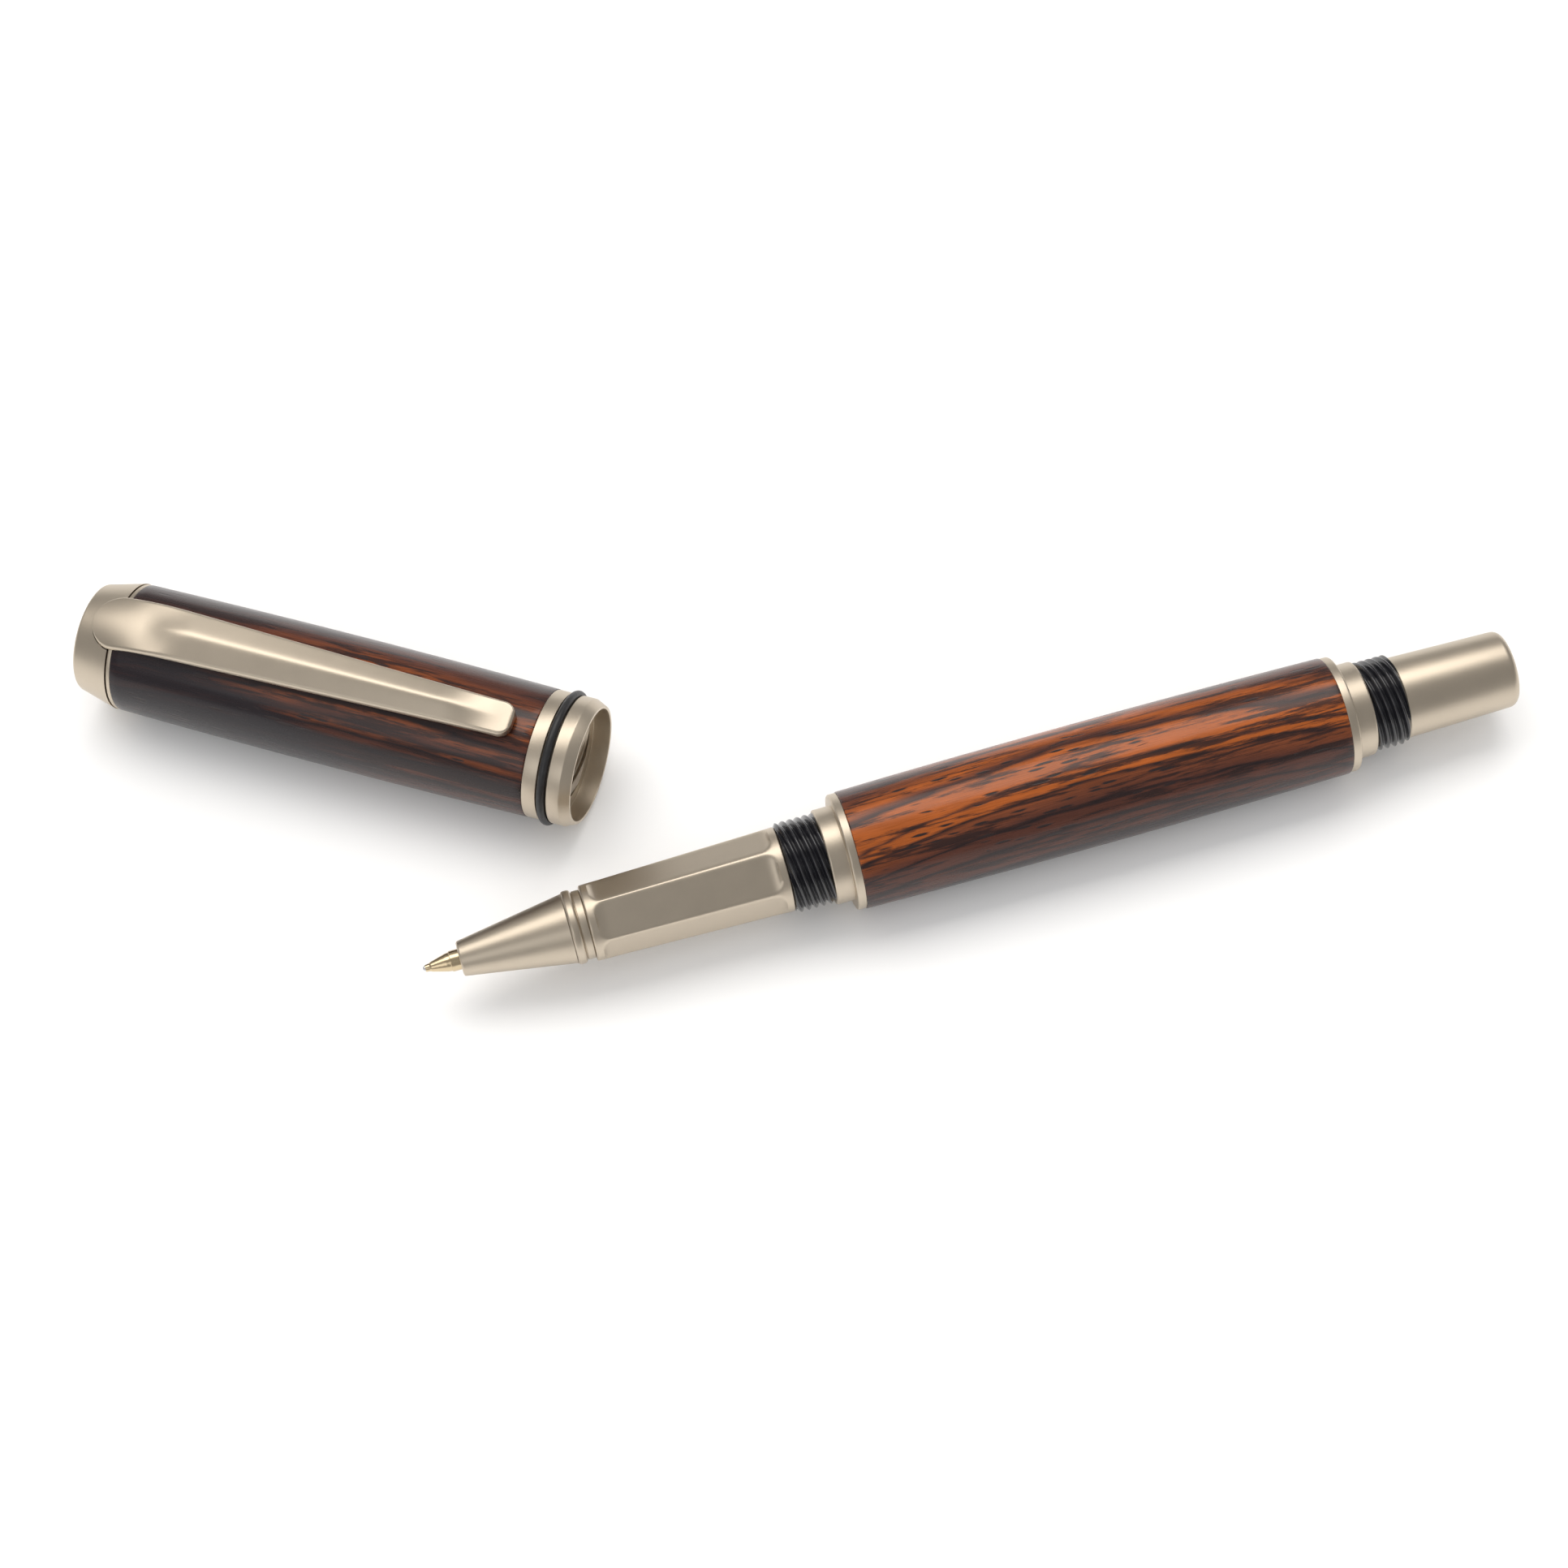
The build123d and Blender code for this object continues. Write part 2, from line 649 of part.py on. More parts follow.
def cap_coupler():
    """Mouth fitting: tenon, band, O-ring groove, mouth ring, tapered lip and counterbore."""
    tenon_x = BAND_X - CAP_TENON_LENGTH
    tenon_r = CAP_TUBE_BORE_R - GLUE_GAP
    groove_x = BAND_X + CAP_BAND_LENGTH
    groove_r = O_RING_GROOVE_R - FACE_GAP
    points = [
        (tenon_x, FEMALE_ROOT_R),
        (INSERT_X, FEMALE_ROOT_R),
        (INSERT_X, CAP_TUBE_BORE_R),
        (MOUTH_FLOOR_X, CAP_TUBE_BORE_R),
        (MOUTH_FLOOR_X, MOUTH_BORE_R),
        (CAP_LENGTH, MOUTH_BORE_R),
        (CAP_LENGTH, MOUTH_LIP_R),
        (MOUTH_TAPER_X, MOUTH_R),
        (MOUTH_RING_X, MOUTH_R),
        (MOUTH_RING_X, groove_r),
        (groove_x, groove_r),
        (groove_x, CAP_BAND_R),
        (BAND_X, CAP_BAND_R),
        (BAND_X, tenon_r),
        (tenon_x, tenon_r),
    ]
    rounds = [
        ((MOUTH_TAPER_X, MOUTH_R), MOUTH_ROUND),
        ((MOUTH_RING_X, MOUTH_R), CAP_RING_ROUND),
        ((groove_x, CAP_BAND_R), CAP_RING_ROUND),
        ((BAND_X, CAP_BAND_R), CAP_RING_ROUND),
    ]
    return turned(points, rounds)


def cap_thread_insert():
    """Threaded sleeve in the cap's mouth that screws onto either of the pen's thread rings."""
    blank = rod(INSERT_X, MOUTH_FLOOR_X, CAP_TUBE_BORE_R - GLUE_GAP)
    return blank - thread_core(
        INSERT_X - CUT_OVERRUN, INSERT_LENGTH + 2 * CUT_OVERRUN, FEMALE_CREST_R, FEMALE_ROOT_R
    )


def cap_o_ring():
    """Rubber ring in the groove behind the mouth ring."""
    ring = Torus(O_RING_OUTER_R - O_RING_R, O_RING_R)
    return Location((O_RING_X, 0, 0)) * Rotation(0, 90, 0) * ring


# ---- layout on the table ----
def pen_pieces():
    """Every piece of the pen by node name, along its own axis."""
    return {
        "refill_ball": refill_ball(),
        "refill_tip": refill_tip(),
        "refill_feed": refill_feed(),
        "refill_collar": refill_collar(),
        "refill_tube": refill_tube(),
        "refill_ink": refill_ink(),
        "refill_end_plug": refill_end_plug(),
        "refill_spring": refill_spring(),
        "nose_cone": nose_cone(),
        "grip_section": grip_section(),
        "section_sleeve": section_sleeve(),
        "front_coupler": front_coupler(),
        "front_thread_ring": thread_ring(THREAD_X, FRONT_THREAD_LENGTH, THREAD_X, 1),
        "barrel_wood": barrel_wood(),
        "barrel_tube": barrel_tube(),
        "rear_coupler": rear_coupler(),
        "rear_thread_ring": thread_ring(REAR_THREAD_X, REAR_THREAD_LENGTH, END_CAP_X, -1),
        "end_cap_screw": end_cap_screw(),
        "end_cap": end_cap(),
    }


def cap_pieces():
    """Every piece of the cap by node name, along its own axis."""
    return {
        "cap_finial": cap_finial(),
        "finial_stud": finial_stud(),
        "clip": clip(),
        "clip_ring": clip_ring(),
        "cap_top_bushing": cap_top_bushing(),
        "cap_wood": cap_wood(),
        "cap_tube": cap_tube(),
        "cap_inner_cup": cap_inner_cup(),
        "cap_coupler": cap_coupler(),
        "cap_thread_insert": cap_thread_insert(),
        "cap_o_ring": cap_o_ring(),
    }


def layout():
    """Where the pen's tip and the cap's finial lie, both halves resting on the plane z = 0."""
    pen = Location((0, 0, WOOD_MID_R))
    middle_x, middle_y = CAP_MIDDLE_BEHIND_TIP
    yaw = radians(CAP_YAW)
    cap_x = middle_x - CAP_LENGTH / 2 * cos(yaw)
    cap_y = middle_y - CAP_LENGTH / 2 * sin(yaw)
    cap = Location((cap_x, cap_y, O_RING_OUTER_R)) * Rotation(0, 0, CAP_YAW) * Rotation(CAP_ROLL, 0, 0)
    return pen, cap


def assembly():
    """All pieces laid out, with the middle of the whole set's base at the origin."""
    pen_place, cap_place = layout()
    placed = {name: pen_place * piece for name, piece in pen_pieces().items()}
    placed.update({name: cap_place * piece for name, piece in cap_pieces().items()})
    box = Compound(children=[Compound(piece.solids()) for piece in placed.values()]).bounding_box()
    shift = Location((-box.center().X, -box.center().Y, -box.min.Z))
    return {name: shift * piece for name, piece in placed.items()}, shift


def main():
    """Write one STEP file for each piece."""
    os.makedirs("parts", exist_ok=True)
    pieces, shift = assembly()
    for name, piece in pieces.items():
        export_step(piece, f"parts/{name}.step")
    print("pieces", len(pieces), "shift", shift.position)


if __name__ == "__main__":
    main()
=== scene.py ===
"""Looks of a rollerball pen and its cap: satin metal, polished streaked wood, black screw threads.

Every piece is a surface worked out in its own long axis's frame, in millimetres, and then placed in
the row frame in metres. The pen's axis and the cap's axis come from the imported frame.
"""

import json
import math

import bmesh
import bpy
import numpy as np
from bpy.props import FloatProperty, FloatVectorProperty, IntProperty, PointerProperty
from mathutils import Matrix, Vector


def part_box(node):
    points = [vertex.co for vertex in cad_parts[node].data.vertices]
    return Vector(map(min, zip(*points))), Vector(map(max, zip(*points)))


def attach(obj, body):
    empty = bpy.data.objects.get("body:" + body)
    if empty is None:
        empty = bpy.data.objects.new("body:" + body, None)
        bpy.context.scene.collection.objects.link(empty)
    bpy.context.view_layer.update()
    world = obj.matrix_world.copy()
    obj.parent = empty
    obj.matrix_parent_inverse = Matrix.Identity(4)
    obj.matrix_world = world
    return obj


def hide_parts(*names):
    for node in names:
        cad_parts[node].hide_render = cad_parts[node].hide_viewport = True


bl_info = {
    "name": "Rollerball pen",
    "version": (1, 0, 0),
    "blender": (4, 5, 0),
    "location": "3D View > Sidebar > Pen",
    "description": "Builds the visible pieces of a wooden rollerball pen and its cap",
    "category": "Object",
}

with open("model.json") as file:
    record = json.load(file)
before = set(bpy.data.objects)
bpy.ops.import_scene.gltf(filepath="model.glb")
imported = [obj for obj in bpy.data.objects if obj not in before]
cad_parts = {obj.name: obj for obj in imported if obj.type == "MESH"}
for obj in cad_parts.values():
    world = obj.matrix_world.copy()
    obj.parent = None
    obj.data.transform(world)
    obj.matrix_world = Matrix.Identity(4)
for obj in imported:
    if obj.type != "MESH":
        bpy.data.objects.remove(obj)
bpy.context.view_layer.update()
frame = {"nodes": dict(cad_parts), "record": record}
MM = 0.001

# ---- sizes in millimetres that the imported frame's boxes don't give ----
TIP_CONE_LENGTH = 3.5
NOSE_CONE_LENGTH = 13.75
NOSE_FRONT_R = 2.17
NOSE_REAR_R = 4.35
BEAD_TO_LAND = 1.35
BEAD_GROOVE_R = 4.16
LAND_R = 4.30
COLLAR_BORE_R = 2.45
COLLAR_STEP_LENGTH = 4.05
GRIP_WIDENING = 0.58
NECK_R = 4.60
TENON_R = 4.97
COUPLER_BORE_R = 4.00
STEP_R = 6.00
THREAD_BORE_R = 4.63
THREAD_POWER = 0.75
CHAMFER_SLOPE = 1.4
FRONT_CHAMFER = 0.35
REAR_CHAMFER = 0.42
FRONT_FLANGE = 1.13
REAR_FLANGE = 1.18
SPRING_POCKET_R = 3.60
SPRING_POCKET_DEPTH = 1.70
SCREW_R = 2.50
SCREW_IN_COUPLER = 5.30
SCREW_IN_TAIL = 4.50
TAIL_TAPER = 0.31
BARREL_CROWN = 0.28
BARREL_BORE_R = 5.33
FINIAL_END_R = 6.94
FINIAL_BASE_R = 8.26
FINIAL_LENGTH = 5.07
RING_BORE_R = 2.53
CLIP_SLOPE = 0.26
CLIP_STAND = 0.62
CLIP_UNDERSIDE = 8.85
CLIP_HEAD_FLOOR = 5.80
CLIP_HEAD_END = 5.00
CLIP_OVER_RING_R = 8.28
CLIP_TIP_ROUND = 1.60
CLIP_RIM = 0.32
CLIP_END_RIM = 0.45
CLIP_END_RIM_LENGTH = 0.50
CAP_CROWN = 0.24
CAP_WOOD_BORE_R = 6.63
FITTING_BORE_R = 5.80
FITTING_TENON_R = 6.17
MOUTH_TAPER = 1.30
MOUTH_LIP_R = 7.62
MOUTH_BORE_R = 7.25
FEMALE_CREST_R = 5.40
FEMALE_DEPTH = 0.40
CUP_MOUTH_R = 4.80
CUP_FLOOR_R = 4.20
CUP_FLOOR = 0.80


# ---- axes of the pen and the cap ----
class Axis:
    """A long axis in the row frame: origin in metres, and unit vectors along, beside and above it."""

    def __init__(self, origin, along, above):
        self.origin = np.array(origin, float)
        self.along = np.array(along, float)
        self.above = np.array(above, float)
        self.beside = np.cross(self.above, self.along)

    def place(self, x, y, z):
        """Points given in millimetres along, beside and above the axis, as row-frame metres."""
        turned = x[..., None] * self.along + y[..., None] * self.beside + z[..., None] * self.above
        return self.origin + turned * MM

    def reach(self, node):
        """Start, end and largest radius of a CAD node along this axis, in millimetres."""
        mesh = frame["nodes"][node].data
        flat = np.empty(len(mesh.vertices) * 3, np.float32)
        mesh.vertices.foreach_get("co", flat)
        offset = (flat.reshape(-1, 3) - self.origin) / MM
        x = offset @ self.along
        radius = np.hypot(offset @ self.beside, offset @ self.above)
        return float(x.min()), float(x.max()), float(radius.max())


def pen_axis():
    """Axis of the pen, from the ball's foremost point towards the tail."""
    tail_low, tail_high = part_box("end_cap")
    middle = (tail_low + tail_high) / 2
    return Axis((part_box("refill_ball")[0].x, middle.y, middle.z), (1, 0, 0), (0, 0, 1))


def cap_axis():
    """Axis of the cap, from the finial's small end towards the mouth, with the clip above it."""
    mounts = {mount["name"]: mount for mount in frame["record"]["mounts"]}
    mouth = mounts["cap_mouth"]
    towards_mouth = Axis(mouth["pos_m"], mouth["axis"], mounts["pocket_clip"]["axis"])
    start = towards_mouth.reach("cap_finial")[0]
    origin = towards_mouth.origin + towards_mouth.along * start * MM
    return Axis(origin, mouth["axis"], mounts["pocket_clip"]["axis"])


PEN = pen_axis()
CAP = cap_axis()


# ---- surfaces ----
def rounded(corners, steps=7):
    """Closed outline from corners of (x, radius, rounding): each rounded corner becomes an arc.

    The arc touches both sides, so it starts and ends rounding * tan(half the turn) from the corner.
    """
    outline = []
    count = len(corners)
    for i, (x, r, rounding) in enumerate(corners):
        here = np.array((x, r), float)
        if rounding <= 0:
            outline.append(here)
            continue
        before = np.array(corners[i - 1][:2], float) - here
        after = np.array(corners[(i + 1) % count][:2], float) - here
        before /= np.linalg.norm(before)
        after /= np.linalg.norm(after)
        half = math.acos(np.clip(before @ after, -1, 1)) / 2
        centre = here + (before + after) / np.linalg.norm(before + after) * rounding / math.sin(half)
        first = here + before * rounding / math.tan(half) - centre
        last = here + after * rounding / math.tan(half) - centre
        share = np.linspace(0, 1, steps)[:, None]
        turn = math.pi - 2 * half
        arc = (np.sin((1 - share) * turn) * first + np.sin(share * turn) * last) / math.sin(turn)
        outline.extend(centre + arc)
    return np.array(outline)


def new_mesh(name, points, close_rows):
    """Mesh object from a grid of points; columns wrap round, rows wrap round if close_rows."""
    rows, columns = points.shape[:2]
    index = np.arange(rows * columns).reshape(rows, columns)
    here = index if close_rows else index[:-1]
    below = np.roll(index, -1, axis=0) if close_rows else index[1:]
    corners = (here, np.roll(here, -1, axis=1), np.roll(below, -1, axis=1), below)
    faces = np.stack(corners, axis=-1).reshape(-1, 4)
    mesh = bpy.data.meshes.new(name)
    mesh.from_pydata(points.reshape(-1, 3).tolist(), [], faces.tolist())
    piece = bpy.data.objects.new(name, mesh)
    bpy.context.scene.collection.objects.link(piece)
    return piece


def close_up(piece, sharp_degrees=38):
    """Merge the poles and seams, point the faces outwards and smooth all but the sharp edges."""
    shell = bmesh.new()
    shell.from_mesh(piece.data)
    bmesh.ops.remove_doubles(shell, verts=shell.verts, dist=1e-7)
    bmesh.ops.dissolve_degenerate(shell, edges=shell.edges, dist=1e-8)
    if shell.calc_volume(signed=True) < 0:
        bmesh.ops.reverse_faces(shell, faces=shell.faces)
    for face in shell.faces:
        face.smooth = True
    shell.to_mesh(piece.data)
    shell.free()
    piece.data.set_sharp_from_angle(angle=math.radians(sharp_degrees))
    return piece


def ring_surface(name, axis, x, radius):
    """Closed ring: each row of radius runs once round the axis at its own x, and the rows close up."""
    angle = np.linspace(0, 2 * np.pi, radius.shape[1], endpoint=False)
    along = np.broadcast_to(x[:, None], radius.shape)
    points = axis.place(along, radius * np.cos(angle), radius * np.sin(angle))
    return close_up(new_mesh(name, points, True))


def lathe(name, axis, corners, steps=192):
    """Surface turned from a closed outline of (x, radius, rounding) corners."""
    outline = rounded(corners)
    radius = np.repeat(outline[:, 1:], steps, axis=1)
    return ring_surface(name, axis, outline[:, 0], radius)


def sleeve_rows(x, shaped, plain_r):
    """Rows for a sleeve: a shaped surface from start to end, then a plain one back to the start."""
    rows_x = np.concatenate((x, [x[-1], x[0]]))
    plain_rows = np.full((2, shaped.shape[1]), plain_r)
    return rows_x, np.concatenate((shaped, plain_rows))


def smooth_step(value, start, end):
    """0 before start, 1 after end, and an even S between them."""
    share = np.clip((value - start) / (end - start), 0, 1)
    return share * share * (3 - 2 * share)


def quarter_round(share):
    """Drop of a quarter circle from its top: 1 at the edge, where share is 0, and 0 at share 1."""
    return 1 - np.sqrt(np.clip(1 - (1 - share) ** 2, 0, 1))


# ---- shader helpers ----
class Shader:
    """Short way to add nodes: a value that is a socket is linked, and any other value is set."""

    def __init__(self, tree):
        self.tree = tree

    def add(self, kind, settings=None, **inputs):
        """New node with its properties from settings and its sockets from the other arguments."""
        node = self.tree.nodes.new(kind)
        for key, value in (settings or {}).items():
            setattr(node, key, value)
        for key, value in inputs.items():
            self.feed(node, key.replace("_", " "), value)
        return node

    def feed(self, node, socket, value):
        """Set or link one socket, named or numbered."""
        target = node.inputs[int(socket) if socket.isdigit() else socket]
        if isinstance(value, bpy.types.NodeSocket):
            self.tree.links.new(value, target)
        else:
            target.default_value = value

    def math(self, operation, first, second=0.0, third=0.0):
        """Math node's result."""
        node = self.tree.nodes.new("ShaderNodeMath")
        node.operation = operation
        for i, value in enumerate((first, second, third)):
            self.feed(node, str(i), value)
        return node.outputs[0]

    def mix(self, factor, first, second, blend="MIX"):
        """Colour mix's result."""
        node = self.tree.nodes.new("ShaderNodeMix")
        node.data_type = "RGBA"
        node.blend_type = blend
        for socket, value in (("0", factor), ("6", first), ("7", second)):
            self.feed(node, socket, value)
        return node.outputs[2]

    def noise(self, vector, scale, detail, roughness=0.5):
        """Noise texture's value."""
        inputs = {"Vector": vector, "Scale": scale, "Detail": detail, "Roughness": roughness}
        return self.add("ShaderNodeTexNoise", **inputs).outputs[0]

    def ramp(self, factor, stops):
        """Colour ramp's result for stops of (position, colour)."""
        node = self.tree.nodes.new("ShaderNodeValToRGB")
        elements = node.color_ramp.elements
        elements[0].position, elements[0].color = stops[0]
        elements[1].position, elements[1].color = stops[-1]
        for position, colour in stops[1:-1]:
            elements.new(position).color = colour
        self.feed(node, "0", factor)
        return node.outputs[0]

    def tone(self, colour, amount, pattern, dark, light):
        """Colour that a pattern takes down and up between two greys."""
        greys = self.ramp(pattern, ((0.3, grey(dark)), (0.7, grey(light))))
        return self.mix(amount, colour, greys, "OVERLAY")

    def span(self, value, low, high, to_low=0.0, to_high=1.0):
        """Value carried from one range to another and held inside it."""
        node = self.add("ShaderNodeMapRange")
        for i, part in enumerate((value, low, high, to_low, to_high)):
            self.feed(node, str(i), part)
        return node.outputs[0]


def grey(level):
    """Opaque grey as a colour."""
    return (level, level, level, 1.0)


def new_group(name, inputs, outputs):
    """Empty shader group with typed sockets; returns its tree, input node and output node."""
    group = bpy.data.node_groups.new(name, "ShaderNodeTree")
    for label, kind, default in inputs:
        socket = group.interface.new_socket(label, in_out="INPUT", socket_type=kind)
        if default is not None:
            socket.default_value = default
    for label, kind in outputs:
        group.interface.new_socket(label, in_out="OUTPUT", socket_type=kind)
    return group, group.nodes.new("NodeGroupInput"), group.nodes.new("NodeGroupOutput")


def satin_group():
    """Fine blasted grain of plated metal: a height for bump and a mask for roughness and colour."""
    name = "satin grain"
    if name in bpy.data.node_groups:
        return bpy.data.node_groups[name]
    inputs = (("Vector", "NodeSocketVector", None), ("Grain", "NodeSocketFloat", 9000.0))
    outputs = (("Height", "NodeSocketFloat"), ("Mask", "NodeSocketFloat"))
    group, source, sink = new_group(name, inputs, outputs)
    draw = Shader(group)
    point, grain = source.outputs[0], source.outputs[1]
    broad = draw.math("MULTIPLY", draw.noise(point, 420.0, 4.0), 0.65)
    mottled = draw.math("MULTIPLY_ADD", draw.noise(point, 2600.0, 2.0), 0.35, broad)
    group.links.new(draw.noise(point, grain, 3.0), sink.inputs["Height"])
    group.links.new(draw.span(mottled, 0.2, 0.8), sink.inputs["Mask"])
    return group


def pore_group():
    """Short dark pores drawn out along the grain, in loose clusters: 1 in a pore, 0 elsewhere."""
    name = "wood pores"
    if name in bpy.data.node_groups:
        return bpy.data.node_groups[name]
    inputs = (("Vector", "NodeSocketVector", None), ("Density", "NodeSocketFloat", 0.5))
    group, source, sink = new_group(name, inputs, (("Pores", "NodeSocketFloat"),))
    draw = Shader(group)
    drawn_out = draw.add("ShaderNodeMapping")
    drawn_out.inputs["Scale"].default_value = (0.16, 1.0, 1.0)
    group.links.new(source.outputs[0], drawn_out.inputs["Vector"])
    cells = draw.add("ShaderNodeTexVoronoi", Vector=drawn_out.outputs[0], Scale=1500.0, Randomness=1.0)
    wobble = draw.noise(drawn_out.outputs[0], 4200.0, 2.0)
    edge = draw.math("MULTIPLY_ADD", wobble, 0.22, cells.outputs["Distance"])
    dots = draw.span(edge, 0.30, 0.42, 1.0, 0.0)
    patch = draw.noise(drawn_out.outputs[0], 330.0, 2.0)
    gate = draw.math("GREATER_THAN", draw.math("ADD", patch, source.outputs[1]), 0.95)
    group.links.new(draw.math("MULTIPLY", dots, gate), sink.inputs["Pores"])
    return group


def new_material(name):
    """Material with an empty Principled shader; returns it, its drawing helper and the shader."""
    if name in bpy.data.materials:
        bpy.data.materials.remove(bpy.data.materials[name])
    material = bpy.data.materials.new(name)
    material.use_nodes = True
    draw = Shader(material.node_tree)
    return material, draw, material.node_tree.nodes["Principled BSDF"]


def object_point(draw, axis, stretch=(1.0, 1.0, 1.0)):
    """Object coordinates carried into an axis's own frame: X along, Y beside, Z above."""
    source = draw.add("ShaderNodeTexCoord").outputs["Object"]
    basis = Matrix((axis.along.tolist(), axis.beside.tolist(), axis.above.tolist()))
    turn = draw.add("ShaderNodeMapping", {"vector_type": "POINT"})
    turn.inputs["Rotation"].default_value = basis.to_euler("XYZ")
    turn.inputs["Location"].default_value = -(basis @ Vector(axis.origin))
    draw.feed(turn, "Vector", source)
    scale = draw.add("ShaderNodeMapping", {"vector_type": "POINT"}, Vector=turn.outputs[0])
    scale.inputs["Scale"].default_value = stretch
    return scale.outputs[0]


# ---- materials ----
def satin_metal(name, axis, colour, roughness, grain=9000.0, rings=0.0):
    """Satin plate: fine grain in the bump, mottled roughness, and faint turning rings if asked."""
    material, draw, shader = new_material(name)
    point = object_point(draw, axis)
    group = {"node_tree": satin_group()}
    grainy = draw.add("ShaderNodeGroup", group, Vector=point, Grain=grain)
    dark = tuple(level * 0.94 for level in colour[:3]) + (1.0,)
    draw.feed(shader, "Base Color", draw.mix(grainy.outputs["Mask"], dark, tuple(colour[:3]) + (1.0,)))
    rough = draw.span(grainy.outputs["Mask"], 0.0, 1.0, roughness - 0.02, roughness + 0.03)
    draw.feed(shader, "Roughness", rough)
    height = grainy.outputs["Height"]
    if rings > 0:
        ringed = object_point(draw, axis, (1.0, 0.02, 0.02))
        height = draw.math("MULTIPLY_ADD", draw.noise(ringed, 14000.0, 2.0), rings, height)
    bump = draw.add("ShaderNodeBump", Strength=0.22, Distance=0.00002, Height=height)
    draw.feed(shader, "Normal", bump.outputs[0])
    shader.inputs["Metallic"].default_value = 1.0
    return material


def moulded_plastic(name, axis, colour, roughness, coat=0.0):
    """Moulded plastic or rubber: faint mottling, light scuffs in the roughness."""
    material, draw, shader = new_material(name)
    point = object_point(draw, axis)
    mottle = draw.span(draw.noise(point, 900.0, 5.0), 0.35, 0.7)
    lighter = tuple(min(level * 1.5 + 0.003, 1.0) for level in colour[:3]) + (1.0,)
    draw.feed(shader, "Base Color", draw.mix(mottle, colour, lighter))
    scuff = draw.noise(point, 3500.0, 4.0)
    rough = draw.span(scuff, 0.3, 0.7, roughness - 0.06, roughness + 0.1)
    draw.feed(shader, "Roughness", rough)
    bump = draw.add("ShaderNodeBump", Strength=0.12, Distance=0.00002, Height=scuff)
    draw.feed(shader, "Normal", bump.outputs[0])
    shader.inputs["Coat Weight"].default_value = coat
    shader.inputs["Coat Roughness"].default_value = 0.08
    return material


def layered_wood(name, axis, stops, facing, arch, middle, half, density, streaks, painted_shade_end):
    """Polished wood cut across dark growth layers, with fine fibre, pores and a clear coat.

    A layer is where the distance across the grain has one value, and stops give the colour for
    each distance in millimetres. The grain faces facing degrees from above, is bent by arch
    millimetres at half a length from middle, and is wavered by slow and ragged noise. density
    is how many pores there are, streaks how many dark streaks cross the layers, and
    painted_shade_end how dark the painted shade is: a near-black patch painted onto the low side
    near the start, in place of shade there.
    """
    material, draw, shader = new_material(name)
    point = object_point(draw, axis)
    parts = draw.add("ShaderNodeSeparateXYZ", Vector=point)

    def along_grain(stretch, scale, detail, roughness=0.5):
        return draw.noise(object_point(draw, axis, (stretch, 1.0, 1.0)), scale, detail, roughness)

    turn = math.radians(facing)
    across = draw.math("MULTIPLY_ADD", parts.outputs[1], math.sin(turn) / MM, 0.0)
    across = draw.math("MULTIPLY_ADD", parts.outputs[2], math.cos(turn) / MM, across)
    share = draw.math("MULTIPLY_ADD", parts.outputs[0], 1 / (half * MM), -middle / half)
    across = draw.math("MULTIPLY_ADD", draw.math("MULTIPLY", share, share), arch, across)
    slow = along_grain(0.22, 150.0, 2.5)
    across = draw.math("MULTIPLY_ADD", slow, 2.4, draw.math("SUBTRACT", across, 1.2))
    ragged = along_grain(0.10, 1500.0, 4.0)
    across = draw.math("MULTIPLY_ADD", ragged, 1.1, draw.math("SUBTRACT", across, 0.55))
    low, high = stops[0][0], stops[-1][0]
    spread = [((place - low) / (high - low), colour) for place, colour in stops]
    layers = draw.ramp(draw.span(across, low, high), spread)
    fibre = along_grain(0.045, 5200.0, 4.0)
    toned = draw.tone(layers, 0.55, fibre, 0.38, 0.62)
    toned = draw.tone(toned, 0.45, along_grain(0.3, 420.0, 3.0), 0.36, 0.66)
    streak = along_grain(0.075, 900.0, 6.0, 0.7)
    streaked = draw.span(streak, 0.56 - streaks, 0.64 - streaks, 0.0, 0.88)
    toned = draw.mix(streaked, toned, (0.014, 0.006, 0.006, 1.0))
    # Painted shade: a near-black patch darkens the wood on its low side near the start, wavered by the
    # slow noise.
    low_side = draw.math("MULTIPLY_ADD", parts.outputs[1], -1 / (6 * MM), 0.1)
    near_end = draw.math("MULTIPLY_ADD", share, -1.6, draw.math("ADD", low_side, slow))
    painted_shade = draw.span(near_end, 1.95, 2.55, 0.0, painted_shade_end)
    toned = draw.mix(painted_shade, toned, (0.009, 0.006, 0.009, 1.0))
    group = {"node_tree": pore_group()}
    pores = draw.add("ShaderNodeGroup", group, Vector=point, Density=density).outputs[0]
    toned = draw.mix(pores, toned, (0.018, 0.010, 0.010, 1.0))
    draw.feed(shader, "Base Color", toned)
    sunk = draw.math("MULTIPLY_ADD", pores, -1.0, draw.math("MULTIPLY", fibre, 0.12))
    bump = draw.add("ShaderNodeBump", Strength=0.35, Distance=0.00004, Height=sunk)
    draw.feed(shader, "Normal", bump.outputs[0])
    draw.feed(shader, "Roughness", draw.span(fibre, 0.3, 0.7, 0.24, 0.34))
    shader.inputs["Coat Weight"].default_value = 0.22
    shader.inputs["Specular IOR Level"].default_value = 0.32
    shader.inputs["Coat Roughness"].default_value = 0.12
    return material


# ---- values that a user would change ----
def colour_value(name, description, default):
    """Colour that a user can change."""
    kind = {"subtype": "COLOR", "size": 4, "min": 0.0, "max": 1.0}
    return FloatVectorProperty(name=name, description=description, default=default, **kind)


def size_value(name, description, default):
    """Length in millimetres that a user can change."""
    return FloatProperty(name=name, description=description, default=default)


